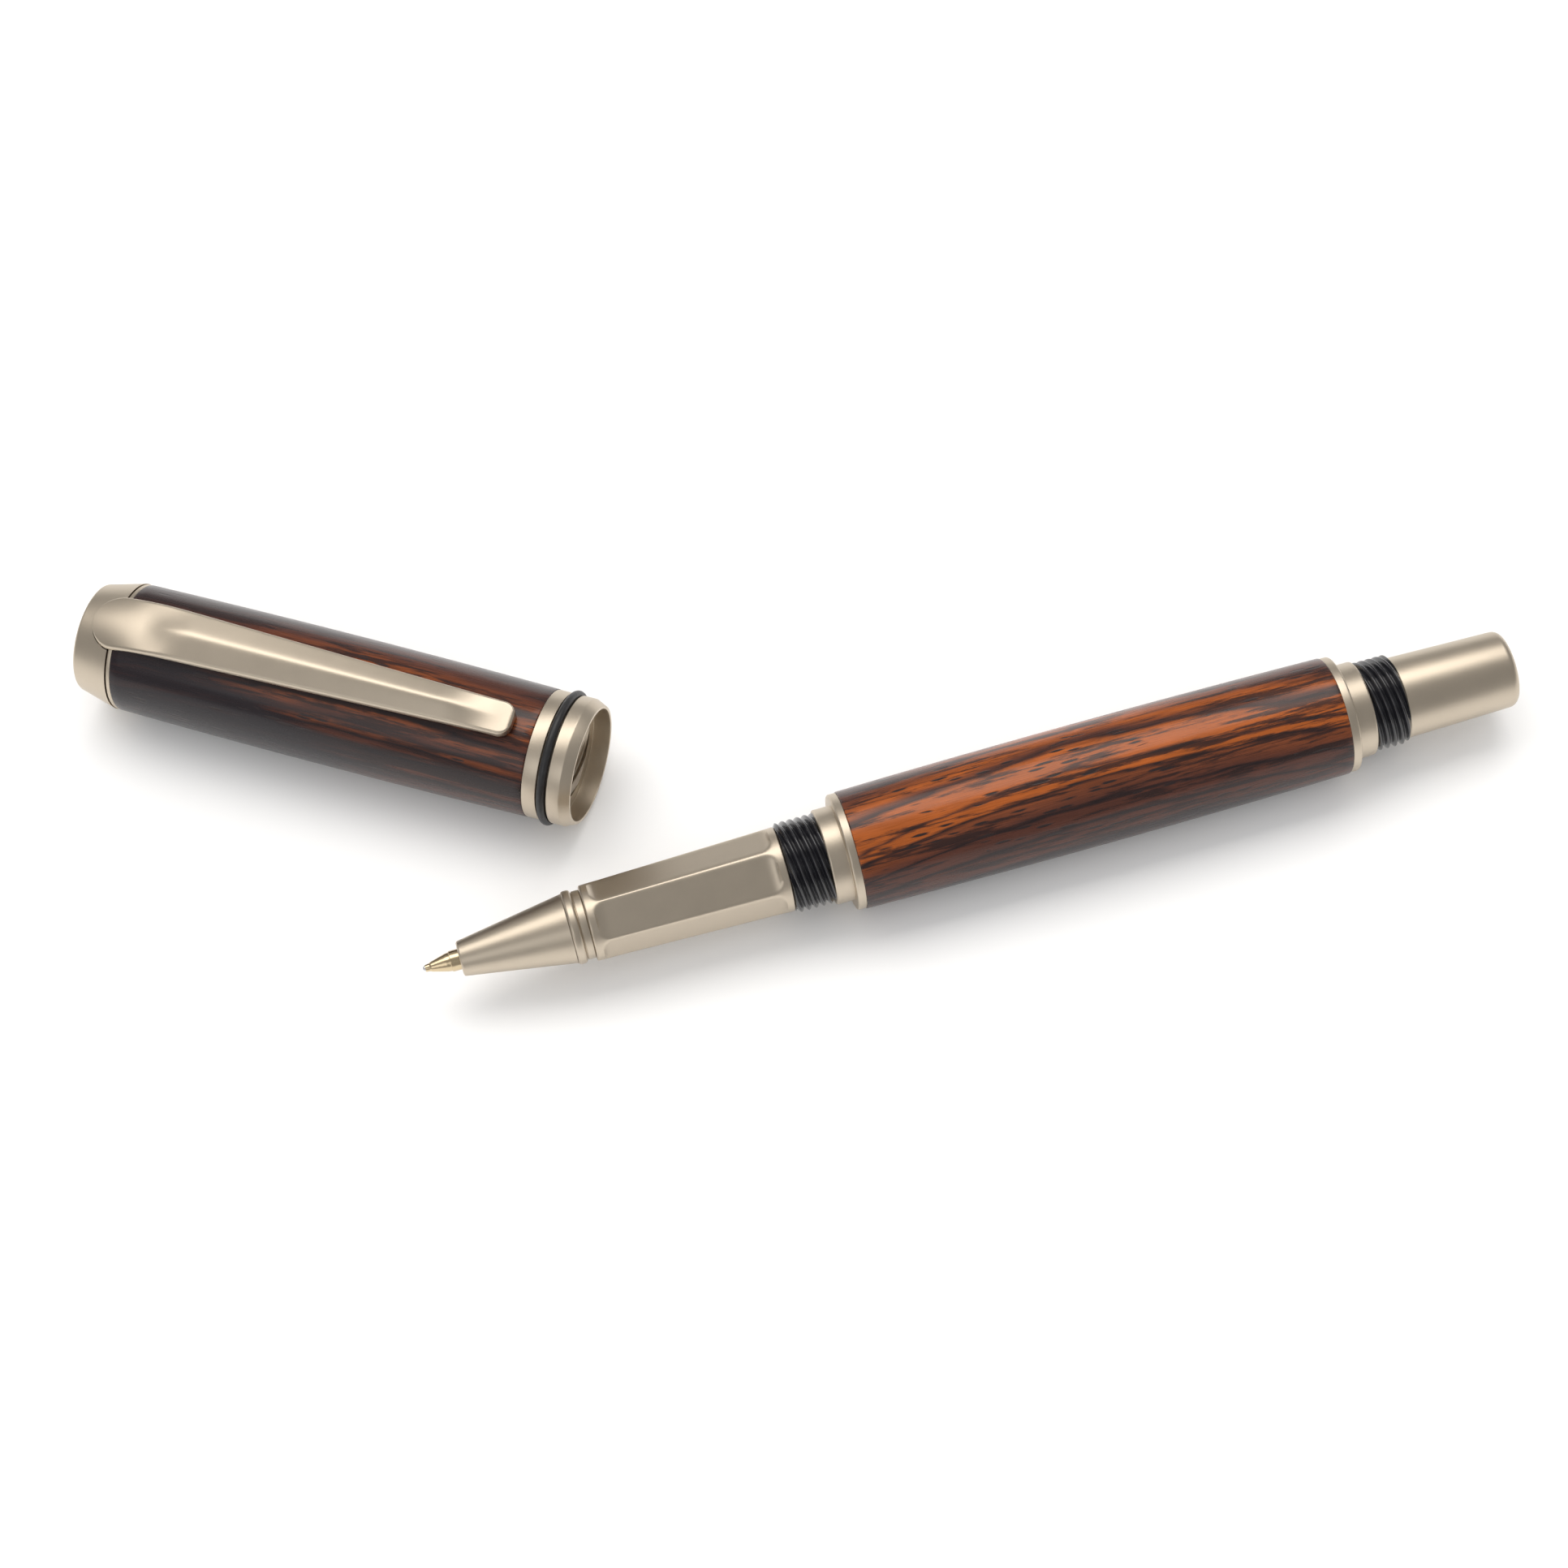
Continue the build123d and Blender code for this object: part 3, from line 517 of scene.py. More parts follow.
class PenColours(bpy.types.PropertyGroup):
    """Finishes of the pen and its cap."""

    nickel: colour_value("Nickel", "Colour of the satin plated metal", (0.62, 0.54, 0.435, 1.0))
    nickel_roughness: FloatProperty(
        name="Nickel roughness",
        description="How much the satin plate blurs reflections",
        subtype="FACTOR",
        min=0.05,
        max=0.9,
        default=0.39,
    )
    point_metal: colour_value("Point metal", "Colour of the writing point", (0.72, 0.58, 0.38, 1.0))
    brass: colour_value("Brass", "Colour of the hidden tubes", (0.75, 0.52, 0.22, 1.0))
    plastic: colour_value("Thread plastic", "Colour of the screw threads", (0.006, 0.006, 0.008, 1.0))
    bright_wood: colour_value("Bright wood", "Orange of the light layers", (0.31, 0.070, 0.006, 1.0))
    brown_wood: colour_value("Brown wood", "Brown of the middle layers", (0.070, 0.020, 0.011, 1.0))
    streak: colour_value("Streak", "Near-black of the dark layers", (0.008, 0.0045, 0.006, 1.0))


class PenSizes(bpy.types.PropertyGroup):
    """Small shapes of the pen, in millimetres, that the frame doesn't give."""

    bead: size_value("Bead", "Rounding of the bead behind the nose", 0.42)
    edge: size_value("Edge", "Rounding of the small turned edges", 0.10)
    flange_round: size_value("Flange", "Rounding of the flanges", 0.28)
    flat_depth: size_value("Flat depth", "Depth of the grip's flats", 0.60)
    flat_margin: size_value("Flat margin", "Round length left at each end of the grip", 1.0)
    flat_runout: size_value("Run-out", "Length over which a flat rises to the round end", 1.5)
    grip_blend: size_value("Grip blend", "How softly the grip's flats meet", 0.06)
    thread_starts: IntProperty(name="Starts", description="Starts of the screw threads", default=5)
    thread_pitch: size_value("Pitch", "Distance between neighbouring crests", 0.95)
    thread_depth: size_value("Depth", "Height of a thread's crest", 0.52)


class CapSizes(bpy.types.PropertyGroup):
    """Small shapes of the cap, in millimetres, that the frame doesn't give."""

    clip_head_half: size_value("Head", "Half the clip's width at its head", 3.6)
    clip_tip_half: size_value("Tip", "Half the clip's width at its tip", 2.15)
    clip_edge: size_value("Side", "Height of the clip's sides", 0.95)
    clip_ridge: size_value("Ridge", "Height of the ridge over the sides", 0.95)
    clip_rise_end: size_value("Ridge start", "Distance from the finial's end to the full ridge", 16.0)
    tip_swell: size_value("Tip swell", "Height of the swelling at the tip", 0.02)
    lip_round: size_value("Lip", "Rounding of the mouth ring's shoulder", 0.5)


def colours():
    """The finishes in this scene."""
    return bpy.context.scene.pen_colours


def pen_sizes():
    """The pen's small shapes in this scene."""
    return bpy.context.scene.pen_sizes


def cap_sizes():
    """The cap's small shapes in this scene."""
    return bpy.context.scene.cap_sizes


def nickel(axis):
    """Satin nickel with its pattern set along one axis."""
    name = "satin nickel pen" if axis is PEN else "satin nickel cap"
    if name in bpy.data.materials:
        return bpy.data.materials[name]
    return satin_metal(name, axis, tuple(colours().nickel), colours().nickel_roughness, rings=0.6)


def dress(piece, body, node, material):
    """Give a piece its material and body, and hide the CAD node that it stands for."""
    piece.data.materials.clear()
    piece.data.materials.append(material)
    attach(piece, body)
    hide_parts(node)
    return piece


def dress_node(node, material):
    """Give a carried-over CAD node its material in every slot."""
    mesh = frame["nodes"][node].data
    if not mesh.materials:
        mesh.materials.append(material)
    for i in range(len(mesh.materials)):
        mesh.materials[i] = material


# ---- pen pieces ----
def thread_wave(x, angle):
    """Screw thread's height at each x and angle, from 0 in a valley to 1 on a crest.

    It has one crest for each start and turns with x. A power below 1 rounds the crests and
    narrows the valleys.
    """
    sizes = pen_sizes()
    lead = sizes.thread_starts * sizes.thread_pitch
    phase = sizes.thread_starts * (angle[None] - 2 * np.pi * x[:, None] / lead)
    return (0.5 + 0.5 * np.cos(phase)) ** THREAD_POWER


def thread_surface(name, axis, start, end, crest, bore, chamfer_start, chamfer_end):
    """Screw thread on a tube, taken down by a cone at each end."""
    x = np.linspace(start, end, 150)
    angle = np.linspace(0, 2 * np.pi, 240, endpoint=False)
    outer = crest - pen_sizes().thread_depth * (1 - thread_wave(x, angle))
    cone_start = crest - chamfer_start + (x - start) * CHAMFER_SLOPE
    cone_end = crest - chamfer_end + (end - x) * CHAMFER_SLOPE
    outer = np.minimum(outer, np.minimum(cone_start, cone_end)[:, None])
    return ring_surface(name, axis, *sleeve_rows(x, outer, bore))


def grip_surface(name, axis, start, end, front_r, rear_r, bore):
    """Six-sided grip: the smaller of a widening round and six flats that rise to it at both ends.

    A flat at distance a from the axis has radius a / cos(angle from its middle). The two radii are
    blended with a soft minimum, so that the edges are slightly rounded.
    """
    sizes = pen_sizes()
    inner = np.linspace(start + 0.3, end - 0.3, 110)
    x = np.concatenate(([start, start + 0.08, start + 0.18], inner, [end - 0.18, end - 0.08, end]))
    drop = np.zeros_like(x)
    drop[:3] = (0.18, 0.06, 0.0)
    drop[-3:] = (0.0, 0.06, 0.18)
    corner = front_r + (rear_r - front_r) * (x - start) / (end - start) - drop * sizes.edge / 0.1
    first = start + sizes.flat_margin
    last = end - sizes.flat_margin
    rise = np.clip((x - first) / sizes.flat_runout, 0, 1)
    fall = np.clip((last - x) / sizes.flat_runout, 0, 1)
    depth = sizes.flat_depth * np.sqrt(1 - (1 - rise) ** 2) * np.sqrt(1 - (1 - fall) ** 2)
    angle = np.linspace(0, 2 * np.pi, 360, endpoint=False)
    sixth = np.pi / 3
    from_middle = np.mod(angle + sixth / 2, sixth) - sixth / 2
    flat = (corner - depth)[:, None] / np.cos(from_middle)[None]
    blend = sizes.grip_blend
    round_part = np.broadcast_to(corner[:, None], flat.shape)
    softened = -blend * np.log(np.exp(-(flat - round_part) / blend) + 1) + round_part
    raised = np.where(depth[:, None] > 0.002, softened, round_part)
    return ring_surface(name, axis, *sleeve_rows(x, np.minimum(raised, round_part), bore))


def crowned_surface(name, axis, start, end, end_r, middle_r, bore):
    """Wooden sleeve whose radius follows one shallow parabola, with its sharp ends just eased."""
    ease = 0.12
    x = np.concatenate(([start, start + ease * 0.3], np.linspace(start + ease, end - ease, 60)))
    x = np.concatenate((x, [end - ease * 0.3, end]))
    share = (2 * x - start - end) / (end - start)
    crown = end_r + (middle_r - end_r) * (1 - share**2)
    crown[[0, -1]] -= ease * 0.7
    crown[[1, -2]] -= ease * 0.25
    outer = np.repeat(crown[:, None], 256, axis=1)
    return ring_surface(name, axis, *sleeve_rows(x, outer, bore))


class PEN_OT_point(bpy.types.Operator):
    """Writing point and ball at the nose"""

    bl_idname = "pen.point"
    bl_label = "Writing point"

    def execute(self, context):
        start, end, shank_r = PEN.reach("refill_tip")
        ball_start, ball_end, ball_r = PEN.reach("refill_ball")
        cone_end = ball_start + TIP_CONE_LENGTH
        metal = satin_metal("point metal", PEN, tuple(colours().point_metal), 0.22, rings=1.2)
        corners = [
            (ball_end + 0.03, 0.0, 0),
            (start, ball_r + 0.03, 0),
            (start, ball_r + 0.09, 0.02),
            (start + 0.55, ball_r + 0.16, 0.2),
            (start + 0.75, ball_r + 0.27, 0.15),
            (cone_end - 0.5, shank_r - 0.17, 0.4),
            (cone_end, shank_r - 0.1, 0.05),
            (cone_end, shank_r, 0.05),
            (end, shank_r, 0),
            (end, 0.0, 0),
        ]
        dress(lathe("writing_point", PEN, corners, 128), "refill", "refill_tip", metal)
        steel = satin_metal("ground steel", PEN, (0.78, 0.78, 0.79, 1.0), 0.12, grain=30000.0)
        arc = np.linspace(0, np.pi, 33)
        centre = (ball_start + ball_end) / 2
        radius = np.repeat((ball_r * np.sin(arc))[:, None], 64, axis=1)
        ball = ring_surface("writing_ball", PEN, centre - ball_r * np.cos(arc), radius)
        dress(ball, "ball", "refill_ball", steel)
        return {"FINISHED"}


class PEN_OT_nose(bpy.types.Operator):
    """Tapered nose with its bead, groove and land"""

    bl_idname = "pen.nose"
    bl_label = "Nose"

    def execute(self, context):
        sizes = pen_sizes()
        start, end, bead_r = PEN.reach("nose_cone")
        grip_start = PEN.reach("grip_section")[0]
        collar_start, collar_end, tube_r = PEN.reach("refill_collar")
        shank_r = PEN.reach("refill_tip")[2]
        tenon_r = PEN.reach("section_sleeve")[2] - 0.35
        bead_x = start + NOSE_CONE_LENGTH
        land_x = bead_x + BEAD_TO_LAND
        corners = [
            (start, shank_r + 0.1, 0.03),
            (start, NOSE_FRONT_R, 0.34),
            (bead_x, NOSE_REAR_R, 0.06),
            (bead_x, bead_r, sizes.bead),
            (land_x - 0.1, bead_r, sizes.bead),
            (land_x - 0.1, BEAD_GROOVE_R, 0.04),
            (land_x, BEAD_GROOVE_R, 0.04),
            (land_x, LAND_R, 0.08),
            (grip_start - 0.05, LAND_R, 0.08),
            (grip_start - 0.05, tenon_r, 0),
            (end, tenon_r, 0),
            (end, tube_r + 0.2, 0),
            (collar_end - COLLAR_STEP_LENGTH, tube_r + 0.2, 0),
            (collar_end - COLLAR_STEP_LENGTH, COLLAR_BORE_R, 0),
            (collar_start - 0.05, COLLAR_BORE_R, 0),
            (collar_start - 0.05, shank_r + 0.1, 0),
        ]
        dress(lathe("nose", PEN, corners), "grip", "nose_cone", nickel(PEN))
        return {"FINISHED"}


class PEN_OT_grip(bpy.types.Operator):
    """Six-sided grip"""

    bl_idname = "pen.grip"
    bl_label = "Grip"

    def execute(self, context):
        start, end, rear_r = PEN.reach("grip_section")
        bore = PEN.reach("section_sleeve")[2] - 0.3
        grip = grip_surface("grip", PEN, start, end, rear_r - GRIP_WIDENING, rear_r, bore)
        dress(grip, "grip", "grip_section", nickel(PEN))
        return {"FINISHED"}


class PEN_OT_threads(bpy.types.Operator):
    """Black screw threads at both ends of the barrel"""

    bl_idname = "pen.threads"
    bl_label = "Screw threads"

    def execute(self, context):
        plastic = moulded_plastic("black thread pen", PEN, tuple(colours().plastic), 0.17, coat=0.5)
        for name, node, chamfers in (
            ("front_screw_thread", "front_thread_ring", (FRONT_CHAMFER, 0.0)),
            ("rear_screw_thread", "rear_thread_ring", (0.0, REAR_CHAMFER)),
        ):
            start, end, crest = PEN.reach(node)
            ring = thread_surface(name, PEN, start, end, crest, THREAD_BORE_R, *chamfers)
            dress(ring, "barrel", node, plastic)
        return {"FINISHED"}


class PEN_OT_collars(bpy.types.Operator):
    """Stepped metal collars at both ends of the barrel"""

    bl_idname = "pen.collars"
    bl_label = "Collars"

    def execute(self, context):
        sizes = pen_sizes()
        start, end, flange_r = PEN.reach("front_coupler")
        step_x = PEN.reach("front_thread_ring")[1]
        wood_x, wood_end, _ = PEN.reach("barrel_wood")
        flange_x = wood_x - FRONT_FLANGE
        front = [
            (start, COUPLER_BORE_R, 0),
            (start, NECK_R, 0.05),
            (step_x, NECK_R, 0),
            (step_x, STEP_R, sizes.flange_round),
            (flange_x, STEP_R, 0.06),
            (flange_x, flange_r, sizes.flange_round),
            (wood_x, flange_r, sizes.edge),
            (wood_x, TENON_R, 0),
            (end, TENON_R, 0.1),
            (end, COUPLER_BORE_R, 0),
        ]
        dress(lathe("front_collar", PEN, front), "barrel", "front_coupler", nickel(PEN))
        start, end, flange_r = PEN.reach("rear_coupler")
        step_end = PEN.reach("rear_thread_ring")[0]
        pocket_end = wood_end + SPRING_POCKET_DEPTH
        flange_end = wood_end + REAR_FLANGE
        rear = [
            (start, SPRING_POCKET_R, 0),
            (start, TENON_R, 0.1),
            (wood_end, TENON_R, 0),
            (wood_end, flange_r, sizes.edge),
            (flange_end, flange_r, sizes.flange_round),
            (flange_end, STEP_R, 0.06),
            (step_end, STEP_R, sizes.flange_round),
            (step_end, NECK_R, 0),
            (end, NECK_R, 0.05),
            (end, SCREW_R, 0),
            (end - SCREW_IN_COUPLER, SCREW_R, 0),
            (end - SCREW_IN_COUPLER, 0.0, 0),
            (pocket_end, 0.0, 0),
            (pocket_end, SPRING_POCKET_R, 0),
        ]
        dress(lathe("rear_collar", PEN, rear), "barrel", "rear_coupler", nickel(PEN))
        return {"FINISHED"}


class PEN_OT_tail(bpy.types.Operator):
    """Plain tail cap with its rounded end"""

    bl_idname = "pen.tail"
    bl_label = "Tail"

    def execute(self, context):
        start, end, front_r = PEN.reach("end_cap")
        corners = [
            (start, SCREW_R, 0), (start, front_r, 0.18), (end, front_r - TAIL_TAPER, 1.0),
            (end, 0.0, 0), (start + SCREW_IN_TAIL, 0.0, 0), (start + SCREW_IN_TAIL, SCREW_R, 0),
        ]
        dress(lathe("tail", PEN, corners), "barrel", "end_cap", nickel(PEN))
        return {"FINISHED"}


class PEN_OT_barrel(bpy.types.Operator):
    """Wooden sleeve of the barrel"""

    bl_idname = "pen.barrel"
    bl_label = "Wooden barrel"

    def execute(self, context):
        bright, brown, streak = wood_colours()
        start, end, middle_r = PEN.reach("barrel_wood")
        stops = [
            (-9.0, brown), (-6.2, streak), (-5.6, brown), (-3.9, brown), (-3.4, streak),
            (-3.0, brown), (-1.6, brown), (-1.2, streak), (-0.9, brown),
            (0.9, mixed(brown, bright, 0.35)), (1.35, streak), (1.7, bright), (2.5, bright),
            (2.8, mixed(streak, brown, 0.5)), (3.1, bright), (5.4, bright),
            (5.9, mixed(streak, brown, 0.3)), (6.3, brown), (7.2, bright), (9.0, brown),
        ]
        middle, half = (start + end) / 2, (end - start) / 2
        looks = {"facing": 55.0, "arch": 2.4, "density": 0.46, "streaks": 0.07, "painted_shade_end": 0.0}
        wood = layered_wood("barrel wood", PEN, stops, middle=middle, half=half, **looks)
        end_r = middle_r - BARREL_CROWN
        sleeve = crowned_surface("barrel_sleeve", PEN, start, end, end_r, middle_r, BARREL_BORE_R)
        dress(sleeve, "barrel", "barrel_wood", wood)
        return {"FINISHED"}


def wood_colours():
    """Bright, brown and streak colours of the wood."""
    wood = colours()
    return tuple(wood.bright_wood), tuple(wood.brown_wood), tuple(wood.streak)


def mixed(first, second, share):
    """Colour part of the way from one to another."""
    return tuple(a + (b - a) * share for a, b in zip(first, second))


# ---- cap pieces ----
def clip_surface(name, axis, start, end):
    """Clip: each cross-section is a closed loop whose width, underside and top follow its place.

    Seen from above the outline is a half-round head, straight tapering sides and a rounded tip.
    The top is the finial's own curve over the head, and turns into a roof with a soft ridge; its
    rim is let down by a quarter round so that the sides are not sharp.
    """
    sizes = cap_sizes()
    head = sizes.clip_head_half
    spread = 0.5 - 0.5 * np.cos(np.linspace(0, np.pi, 150))
    u = start + (end - start) * spread
    taper = head + (sizes.clip_tip_half - head) * (u - start - head) / (end - start - head)
    from_head = np.clip((start + head - u) / head, 0, 1)
    head_width = np.sqrt(np.clip(1 - from_head**2, 0, 1))
    from_tip = np.clip((u - end + CLIP_TIP_ROUND) / CLIP_TIP_ROUND, 0, 1)
    tip_inset = CLIP_TIP_ROUND * (1 - np.sqrt(np.clip(1 - from_tip**2, 0, 1)))
    half = np.where(u < start + head, head * head_width, taper - tip_inset)
    half = np.where(from_tip >= 1, half * 0, half)
    cone = FINIAL_END_R + (FINIAL_BASE_R - FINIAL_END_R) * u / FINIAL_LENGTH
    past_head = np.where(u >= CLIP_HEAD_END, 1, 0)
    under_shaft = CLIP_UNDERSIDE - 0.2 * smooth_step(u, end - 3.5, end - 1.2)
    rising = smooth_step(u, CLIP_HEAD_END, 8.5)
    under_past = CLIP_OVER_RING_R + (under_shaft - CLIP_OVER_RING_R) * rising
    under = np.where(u < CLIP_HEAD_END, CLIP_HEAD_FLOOR, under_past)
    level = CLIP_UNDERSIDE + sizes.clip_edge
    drop = level - (FINIAL_END_R + CLIP_SLOPE * start + CLIP_STAND)
    to_level = np.clip((u - start) / (2 * drop / CLIP_SLOPE), 0, 1)
    top_line = level - drop * (1 - to_level) ** 2
    side = np.linspace(-1, 1, 49)
    top_w = side[None] * half[:, None]
    flatness = smooth_step(u, 3.0, 13.0)[:, None]
    ridge_in = smooth_step(u, 9.0, sizes.clip_rise_end)
    ridge_out = 1 - smooth_step(u, end - 10.0, end - 1.0)
    ridge = sizes.clip_ridge * ridge_in * ridge_out
    swell = sizes.tip_swell * np.exp(-(((u - end + 2.2) / 1.3) ** 2))
    arch_r = (cone + CLIP_STAND)[:, None]
    arched = np.sqrt(np.clip(arch_r**2 - top_w**2, 1, None)) - arch_r
    roof = 1 - (np.sqrt(side**2 + 0.02) - math.sqrt(0.02)) / (math.sqrt(1.02) - math.sqrt(0.02))
    crest = ridge[:, None] * roof[None] + swell[:, None]
    top = top_line[:, None] + arched * (1 - flatness) + crest * flatness
    to_rim = np.clip((half[:, None] * (1 - np.abs(side))[None]) / CLIP_RIM, 0, 1)
    top = top - CLIP_RIM * quarter_round(to_rim)
    to_end = np.clip((end - u) / CLIP_END_RIM_LENGTH, 0, 1)[:, None]
    top = top - CLIP_END_RIM * quarter_round(to_end)
    sag = np.sqrt(np.clip(CLIP_OVER_RING_R**2 - top_w**2, 1, None)) - CLIP_OVER_RING_R
    bottom = under[:, None] + sag * (1 - flatness) * past_head[:, None]
    bottom = np.minimum(bottom, top - 0.02)
    w = np.concatenate((top_w, top_w[:, ::-1]), axis=1)
    z = np.concatenate((top, bottom[:, ::-1]), axis=1)
    x = np.broadcast_to(u[:, None], w.shape)
    piece = new_mesh(name, axis.place(x, w, z), False)
    return close_up(fill_ends(piece), 42)


def fill_ends(piece):
    """Close any open loop that a surface is left with at its ends."""
    shell = bmesh.new()
    shell.from_mesh(piece.data)
    bmesh.ops.remove_doubles(shell, verts=shell.verts, dist=1e-7)
    open_edges = [edge for edge in shell.edges if edge.is_boundary]
    bmesh.ops.holes_fill(shell, edges=open_edges, sides=0)
    shell.to_mesh(piece.data)
    shell.free()
    return piece


class PEN_OT_clip(bpy.types.Operator):
    """Long tapered clip with its ridge"""

    bl_idname = "pen.clip"
    bl_label = "Clip"

    def execute(self, context):
        start, end, _ = CAP.reach("clip")
        dress(clip_surface("pocket_clip", CAP, start, end), "clip", "clip", nickel(CAP))
        return {"FINISHED"}


class PEN_OT_cap_top(bpy.types.Operator):
    """Finial and the thin bright ring below it"""

    bl_idname = "pen.cap_top"
    bl_label = "Cap top"

    def execute(self, context):
        dress_node("cap_finial", nickel(CAP))
        start, end, ring_r = CAP.reach("clip_ring")
        corners = [
            (start, RING_BORE_R, 0), (start, ring_r, 0.16), (end, ring_r, 0.06),
            (end, RING_BORE_R, 0),
        ]
        dress(lathe("bright_ring", CAP, corners), "cap", "clip_ring", nickel(CAP))
        return {"FINISHED"}


class PEN_OT_cap_sleeve(bpy.types.Operator):
    """Wooden sleeve of the cap"""

    bl_idname = "pen.cap_sleeve"
    bl_label = "Wooden cap"

    def execute(self, context):
        bright, brown, streak = wood_colours()
        start, end, middle_r = CAP.reach("cap_wood")
        dark = mixed(streak, brown, 0.2)
        stops = [
            (-9.0, brown), (-7.4, mixed(brown, streak, 0.4)), (-6.6, brown), (-5.9, streak),
            (-5.2, brown), (-4.4, dark), (-3.7, streak), (-3.1, brown), (-2.4, streak),
            (-1.9, mixed(brown, bright, 0.25)), (-1.3, dark), (-0.7, brown),
            (0.2, mixed(brown, bright, 0.4)), (0.7, streak), (1.2, brown),
            (2.3, mixed(brown, bright, 0.5)), (2.9, dark), (3.5, mixed(brown, bright, 0.55)),
            (4.9, mixed(brown, bright, 0.4)), (5.4, streak), (6.0, mixed(brown, bright, 0.6)),
            (7.2, brown), (9.0, dark),
        ]
        middle, half = (start + end) * 0.62, (end - start) / 2
        # Painted shade: a strong near-black patch on the cap wood's low side near the finial end.
        looks = {"facing": 65.0, "arch": 1.3, "density": 0.40, "streaks": 0.09, "painted_shade_end": 0.9}
        wood = layered_wood("cap wood", CAP, stops, middle=middle, half=half, **looks)
        end_r = middle_r - CAP_CROWN
        sleeve = crowned_surface("cap_sleeve", CAP, start, end, end_r, middle_r, CAP_WOOD_BORE_R)
        dress(sleeve, "cap", "cap_wood", wood)
        return {"FINISHED"}


class PEN_OT_mouth(bpy.types.Operator):
    """Mouth fitting with its O-ring, screw thread and inner cup"""

    bl_idname = "pen.mouth"
    bl_label = "Cap mouth"

    def execute(self, context):
        sizes = cap_sizes()
        start, end, ring_r = CAP.reach("cap_coupler")
        wood_end = CAP.reach("cap_wood")[1]
        seal_start, seal_end, seal_r = CAP.reach("cap_o_ring")
        insert_start, insert_end, insert_r = CAP.reach("cap_thread_insert")
        seal_x = (seal_start + seal_end) / 2
        seal_half = (seal_end - seal_start) / 2
        groove = seal_half + 0.15
        floor_r = seal_r - 2 * seal_half - 0.05
        corners = [
            (start, FITTING_BORE_R, 0),
            (start, FITTING_TENON_R, 0),
            (wood_end, FITTING_TENON_R, 0),
            (wood_end, ring_r - 0.02, 0.1),
            (seal_x - groove, ring_r - 0.02, 0.12),
            (seal_x - groove, floor_r, 0),
            (seal_x + groove, floor_r, 0),
            (seal_x + groove, ring_r, 0.12),
            (end - MOUTH_TAPER, ring_r, sizes.lip_round),
            (end, MOUTH_LIP_R, 0.12),
            (end, MOUTH_BORE_R, 0.08),
            (insert_end, MOUTH_BORE_R, 0.05),
            (insert_end, insert_r + 0.03, 0),
            (insert_start, insert_r + 0.03, 0),
            (insert_start, FITTING_BORE_R, 0),
        ]
        dress(lathe("mouth_fitting", CAP, corners), "cap", "cap_coupler", nickel(CAP))
        arc = np.linspace(0, 2 * np.pi, 32, endpoint=False)
        radius = seal_r - seal_half + seal_half * np.cos(arc)
        seal = ring_surface(
            "seal_ring", CAP, seal_x + seal_half * np.sin(arc), np.repeat(radius[:, None], 192, axis=1)
        )
        rubber = moulded_plastic("seal rubber", CAP, (0.010, 0.010, 0.011, 1.0), 0.42)
        dress(seal, "cap", "cap_o_ring", rubber)
        thread = inside_thread("mouth_thread", CAP, insert_start, insert_end, insert_r)
        dress(thread, "cap", "cap_thread_insert", nickel(CAP))
        cup_start, cup_end, cup_r = CAP.reach("cap_inner_cup")
        cup_corners = [
            (cup_start, 0.0, 0), (cup_start, cup_r, 0.1), (cup_end, cup_r, 0.1),
            (cup_end, CUP_MOUTH_R, 0.2), (cup_start + CUP_FLOOR, CUP_FLOOR_R, 0.3),
            (cup_start + CUP_FLOOR, 0.0, 0),
        ]
        plastic = moulded_plastic("cup plastic", CAP, (0.03, 0.03, 0.034, 1.0), 0.4)
        dress(lathe("seal_cup", CAP, cup_corners), "cap", "cap_inner_cup", plastic)
        return {"FINISHED"}


def inside_thread(name, axis, start, end, outer):
    """Threaded sleeve: plain outside, and a bore that waves like the screw it takes."""
    x = np.linspace(start, end, 90)
    angle = np.linspace(0, 2 * np.pi, 240, endpoint=False)
    bore = FEMALE_CREST_R + FEMALE_DEPTH * thread_wave(x, angle)
    return ring_surface(name, axis, *sleeve_rows(x, bore, outer))


class PEN_OT_inside(bpy.types.Operator):
    """Finishes of the hidden pieces"""

    bl_idname = "pen.inside"
    bl_label = "Hidden pieces"

    def execute(self, context):
        brass = tuple(colours().brass)
        pen_brass = satin_metal("turned brass pen", PEN, brass, 0.3, rings=1.5)
        cap_brass = satin_metal("turned brass cap", CAP, brass, 0.3, rings=1.5)
        steel = satin_metal("spring wire", PEN, (0.62, 0.62, 0.63, 1.0), 0.25)
        plastic = moulded_plastic("refill plastic", PEN, (0.09, 0.09, 0.10, 1.0), 0.35)
        fibre = moulded_plastic("inked fibre", PEN, (0.02, 0.025, 0.08, 1.0), 0.7)
        finishes = (
            (pen_brass, ("barrel_tube", "section_sleeve")),
            (cap_brass, ("cap_tube", "finial_stud", "cap_top_bushing")),
            (steel, ("end_cap_screw", "refill_spring")),
            (plastic, ("refill_collar", "refill_tube", "refill_end_plug")),
            (fibre, ("refill_feed", "refill_ink")),
        )
        for material, nodes in finishes:
            for node in nodes:
                dress_node(node, material)
        return {"FINISHED"}


# ---- stage ----
CAMERA_FROM_TIP = (0.01086, -0.19500, 0.37866)
CAMERA_TURN = (29.0, -10.46, -6.26)
CAMERA_LENS = 80.0
FLOOR_HALF = 3.0


def soft_light(name, place, turn, size, power, colour=(1.0, 1.0, 1.0)):
    """Rectangular area light."""
    light = bpy.data.lights.new(name, "AREA")
    light.shape = "RECTANGLE"
    light.size, light.size_y = size
    light.energy = power
    light.color = colour
    lamp = bpy.data.objects.new(name, light)
    lamp.location = place
    lamp.rotation_euler = [math.radians(part) for part in turn]
    bpy.context.scene.collection.objects.link(lamp)
    return lamp


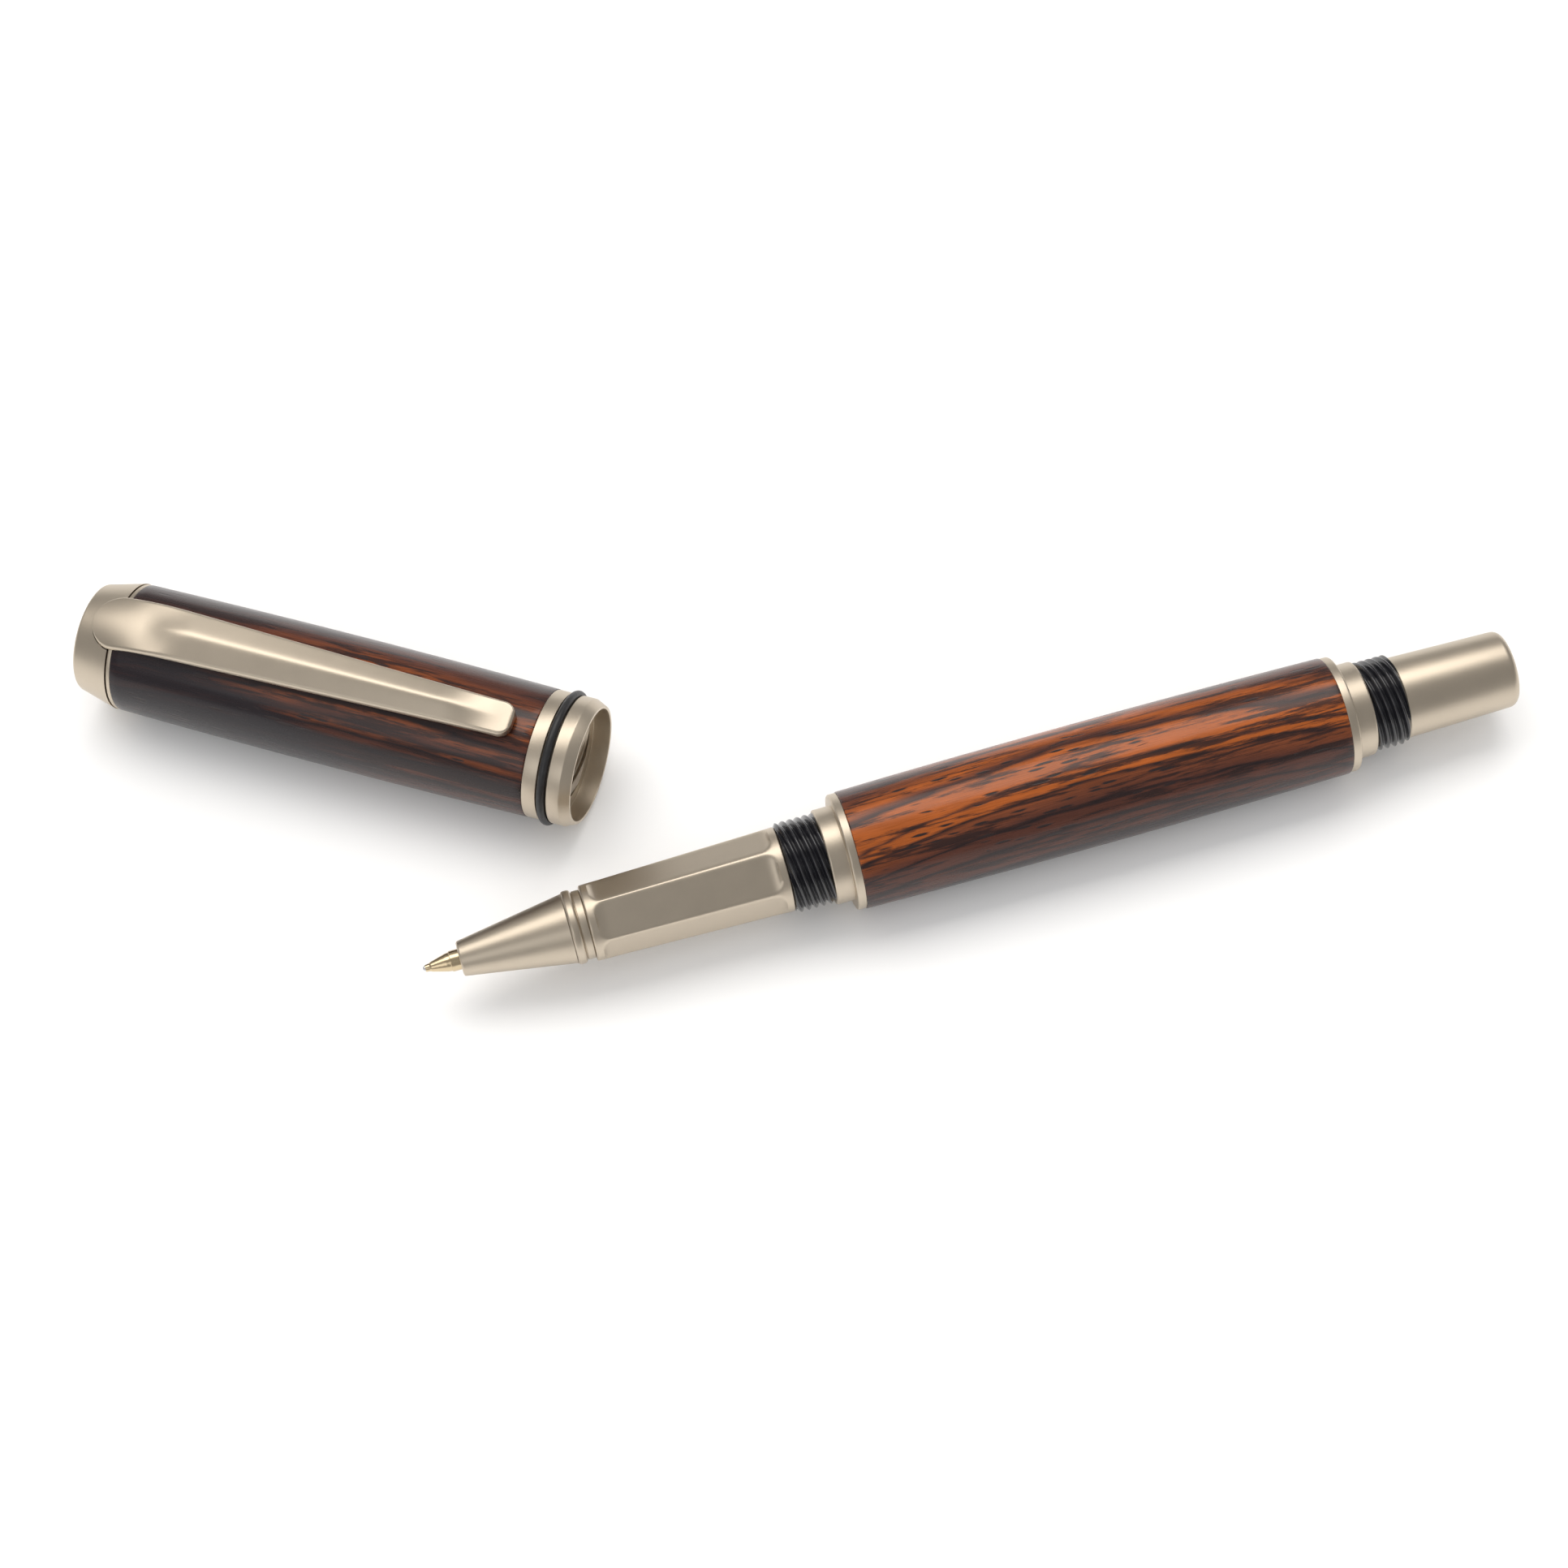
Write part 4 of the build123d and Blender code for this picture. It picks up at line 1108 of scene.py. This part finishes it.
class PEN_OT_stage(bpy.types.Operator):
    """Pale floor, soft studio light and the camera"""

    bl_idname = "pen.stage"
    bl_label = "Stage"

    def execute(self, context):
        scene = context.scene
        mesh = bpy.data.meshes.new("floor")
        signs = ((-1, -1), (1, -1), (1, 1), (-1, 1))
        corners = [(x * FLOOR_HALF, y * FLOOR_HALF, 0) for x, y in signs]
        mesh.from_pydata(corners, [], [(0, 1, 2, 3)])
        floor = bpy.data.objects.new("floor", mesh)
        floor.location.z = -0.00005
        scene.collection.objects.link(floor)
        material, _, shader = new_material("pale table")
        shader.inputs["Base Color"].default_value = (0.86, 0.86, 0.86, 1.0)
        shader.inputs["Roughness"].default_value = 0.6
        mesh.materials.append(material)
        world = bpy.data.worlds.new("studio")
        world.use_nodes = True
        background = world.node_tree.nodes["Background"]
        background.inputs[0].default_value = (1.0, 0.99, 0.98, 1.0)
        background.inputs[1].default_value = 0.33
        scene.world = world
        scene.view_settings.view_transform = "Standard"
        soft_light("key", (0.0, 0.47, 1.10), (-23.0, 0.0, 0.0), (1.6, 0.72), 9.0, (1.0, 0.97, 0.93))
        soft_light("fill", (-0.9, -0.9, 0.9), (50.0, 0.0, -45.0), (0.8, 0.8), 2.0)
        overhead = soft_light("overhead", (0.0, 0.0, 1.3), (0.0, 0.0, 0.0), (6.0, 6.0), 80.0)
        overhead.visible_glossy = False
        camera_data = bpy.data.cameras.new("camera")
        camera_data.lens = CAMERA_LENS
        camera_data.sensor_width = 36.0
        camera_data.clip_start = 0.01
        camera = bpy.data.objects.new("camera", camera_data)
        tilt, heading, roll = (math.radians(part) for part in CAMERA_TURN)
        turn = Matrix.Rotation(heading, 4, "Z") @ Matrix.Rotation(tilt, 4, "X")
        turn = turn @ Matrix.Rotation(roll, 4, "Z")
        camera.matrix_world = Matrix.Translation(PEN.origin + np.array(CAMERA_FROM_TIP)) @ turn
        scene.collection.objects.link(camera)
        scene.camera = camera
        return {"FINISHED"}


class PEN_PT_panel(bpy.types.Panel):
    """Sidebar panel that lists the pieces of the pen"""

    bl_idname = "PEN_PT_panel"
    bl_label = "Rollerball pen"
    bl_space_type = "VIEW_3D"
    bl_region_type = "UI"
    bl_category = "Pen"

    def draw(self, context):
        column = self.layout.column()
        for operator in OPERATORS:
            column.operator(operator.bl_idname)
        for values in (pen_sizes(), cap_sizes(), colours()):
            for key in values.__annotations__:
                column.prop(values, key)


OPERATORS = (
    PEN_OT_stage,
    PEN_OT_point,
    PEN_OT_nose,
    PEN_OT_grip,
    PEN_OT_threads,
    PEN_OT_collars,
    PEN_OT_barrel,
    PEN_OT_tail,
    PEN_OT_cap_top,
    PEN_OT_cap_sleeve,
    PEN_OT_clip,
    PEN_OT_mouth,
    PEN_OT_inside,
)
CLASSES = (PenColours, PenSizes, CapSizes) + OPERATORS + (PEN_PT_panel,)


def register():
    """Add the classes and the scene's values."""
    for cls in CLASSES:
        bpy.utils.register_class(cls)
    bpy.types.Scene.pen_colours = PointerProperty(type=PenColours)
    bpy.types.Scene.pen_sizes = PointerProperty(type=PenSizes)
    bpy.types.Scene.cap_sizes = PointerProperty(type=CapSizes)


def unregister():
    """Remove the scene's values and the classes."""
    del bpy.types.Scene.cap_sizes
    del bpy.types.Scene.pen_sizes
    del bpy.types.Scene.pen_colours
    for cls in reversed(CLASSES):
        bpy.utils.unregister_class(cls)


def main():
    register()
    bpy.ops.pen.stage()
    bpy.ops.pen.point()
    bpy.ops.pen.nose()
    bpy.ops.pen.grip()
    bpy.ops.pen.threads()
    bpy.ops.pen.collars()
    bpy.ops.pen.barrel()
    bpy.ops.pen.tail()
    bpy.ops.pen.cap_top()
    bpy.ops.pen.cap_sleeve()
    bpy.ops.pen.clip()
    bpy.ops.pen.mouth()
    bpy.ops.pen.inside()


if __name__ == "__main__":
    main()
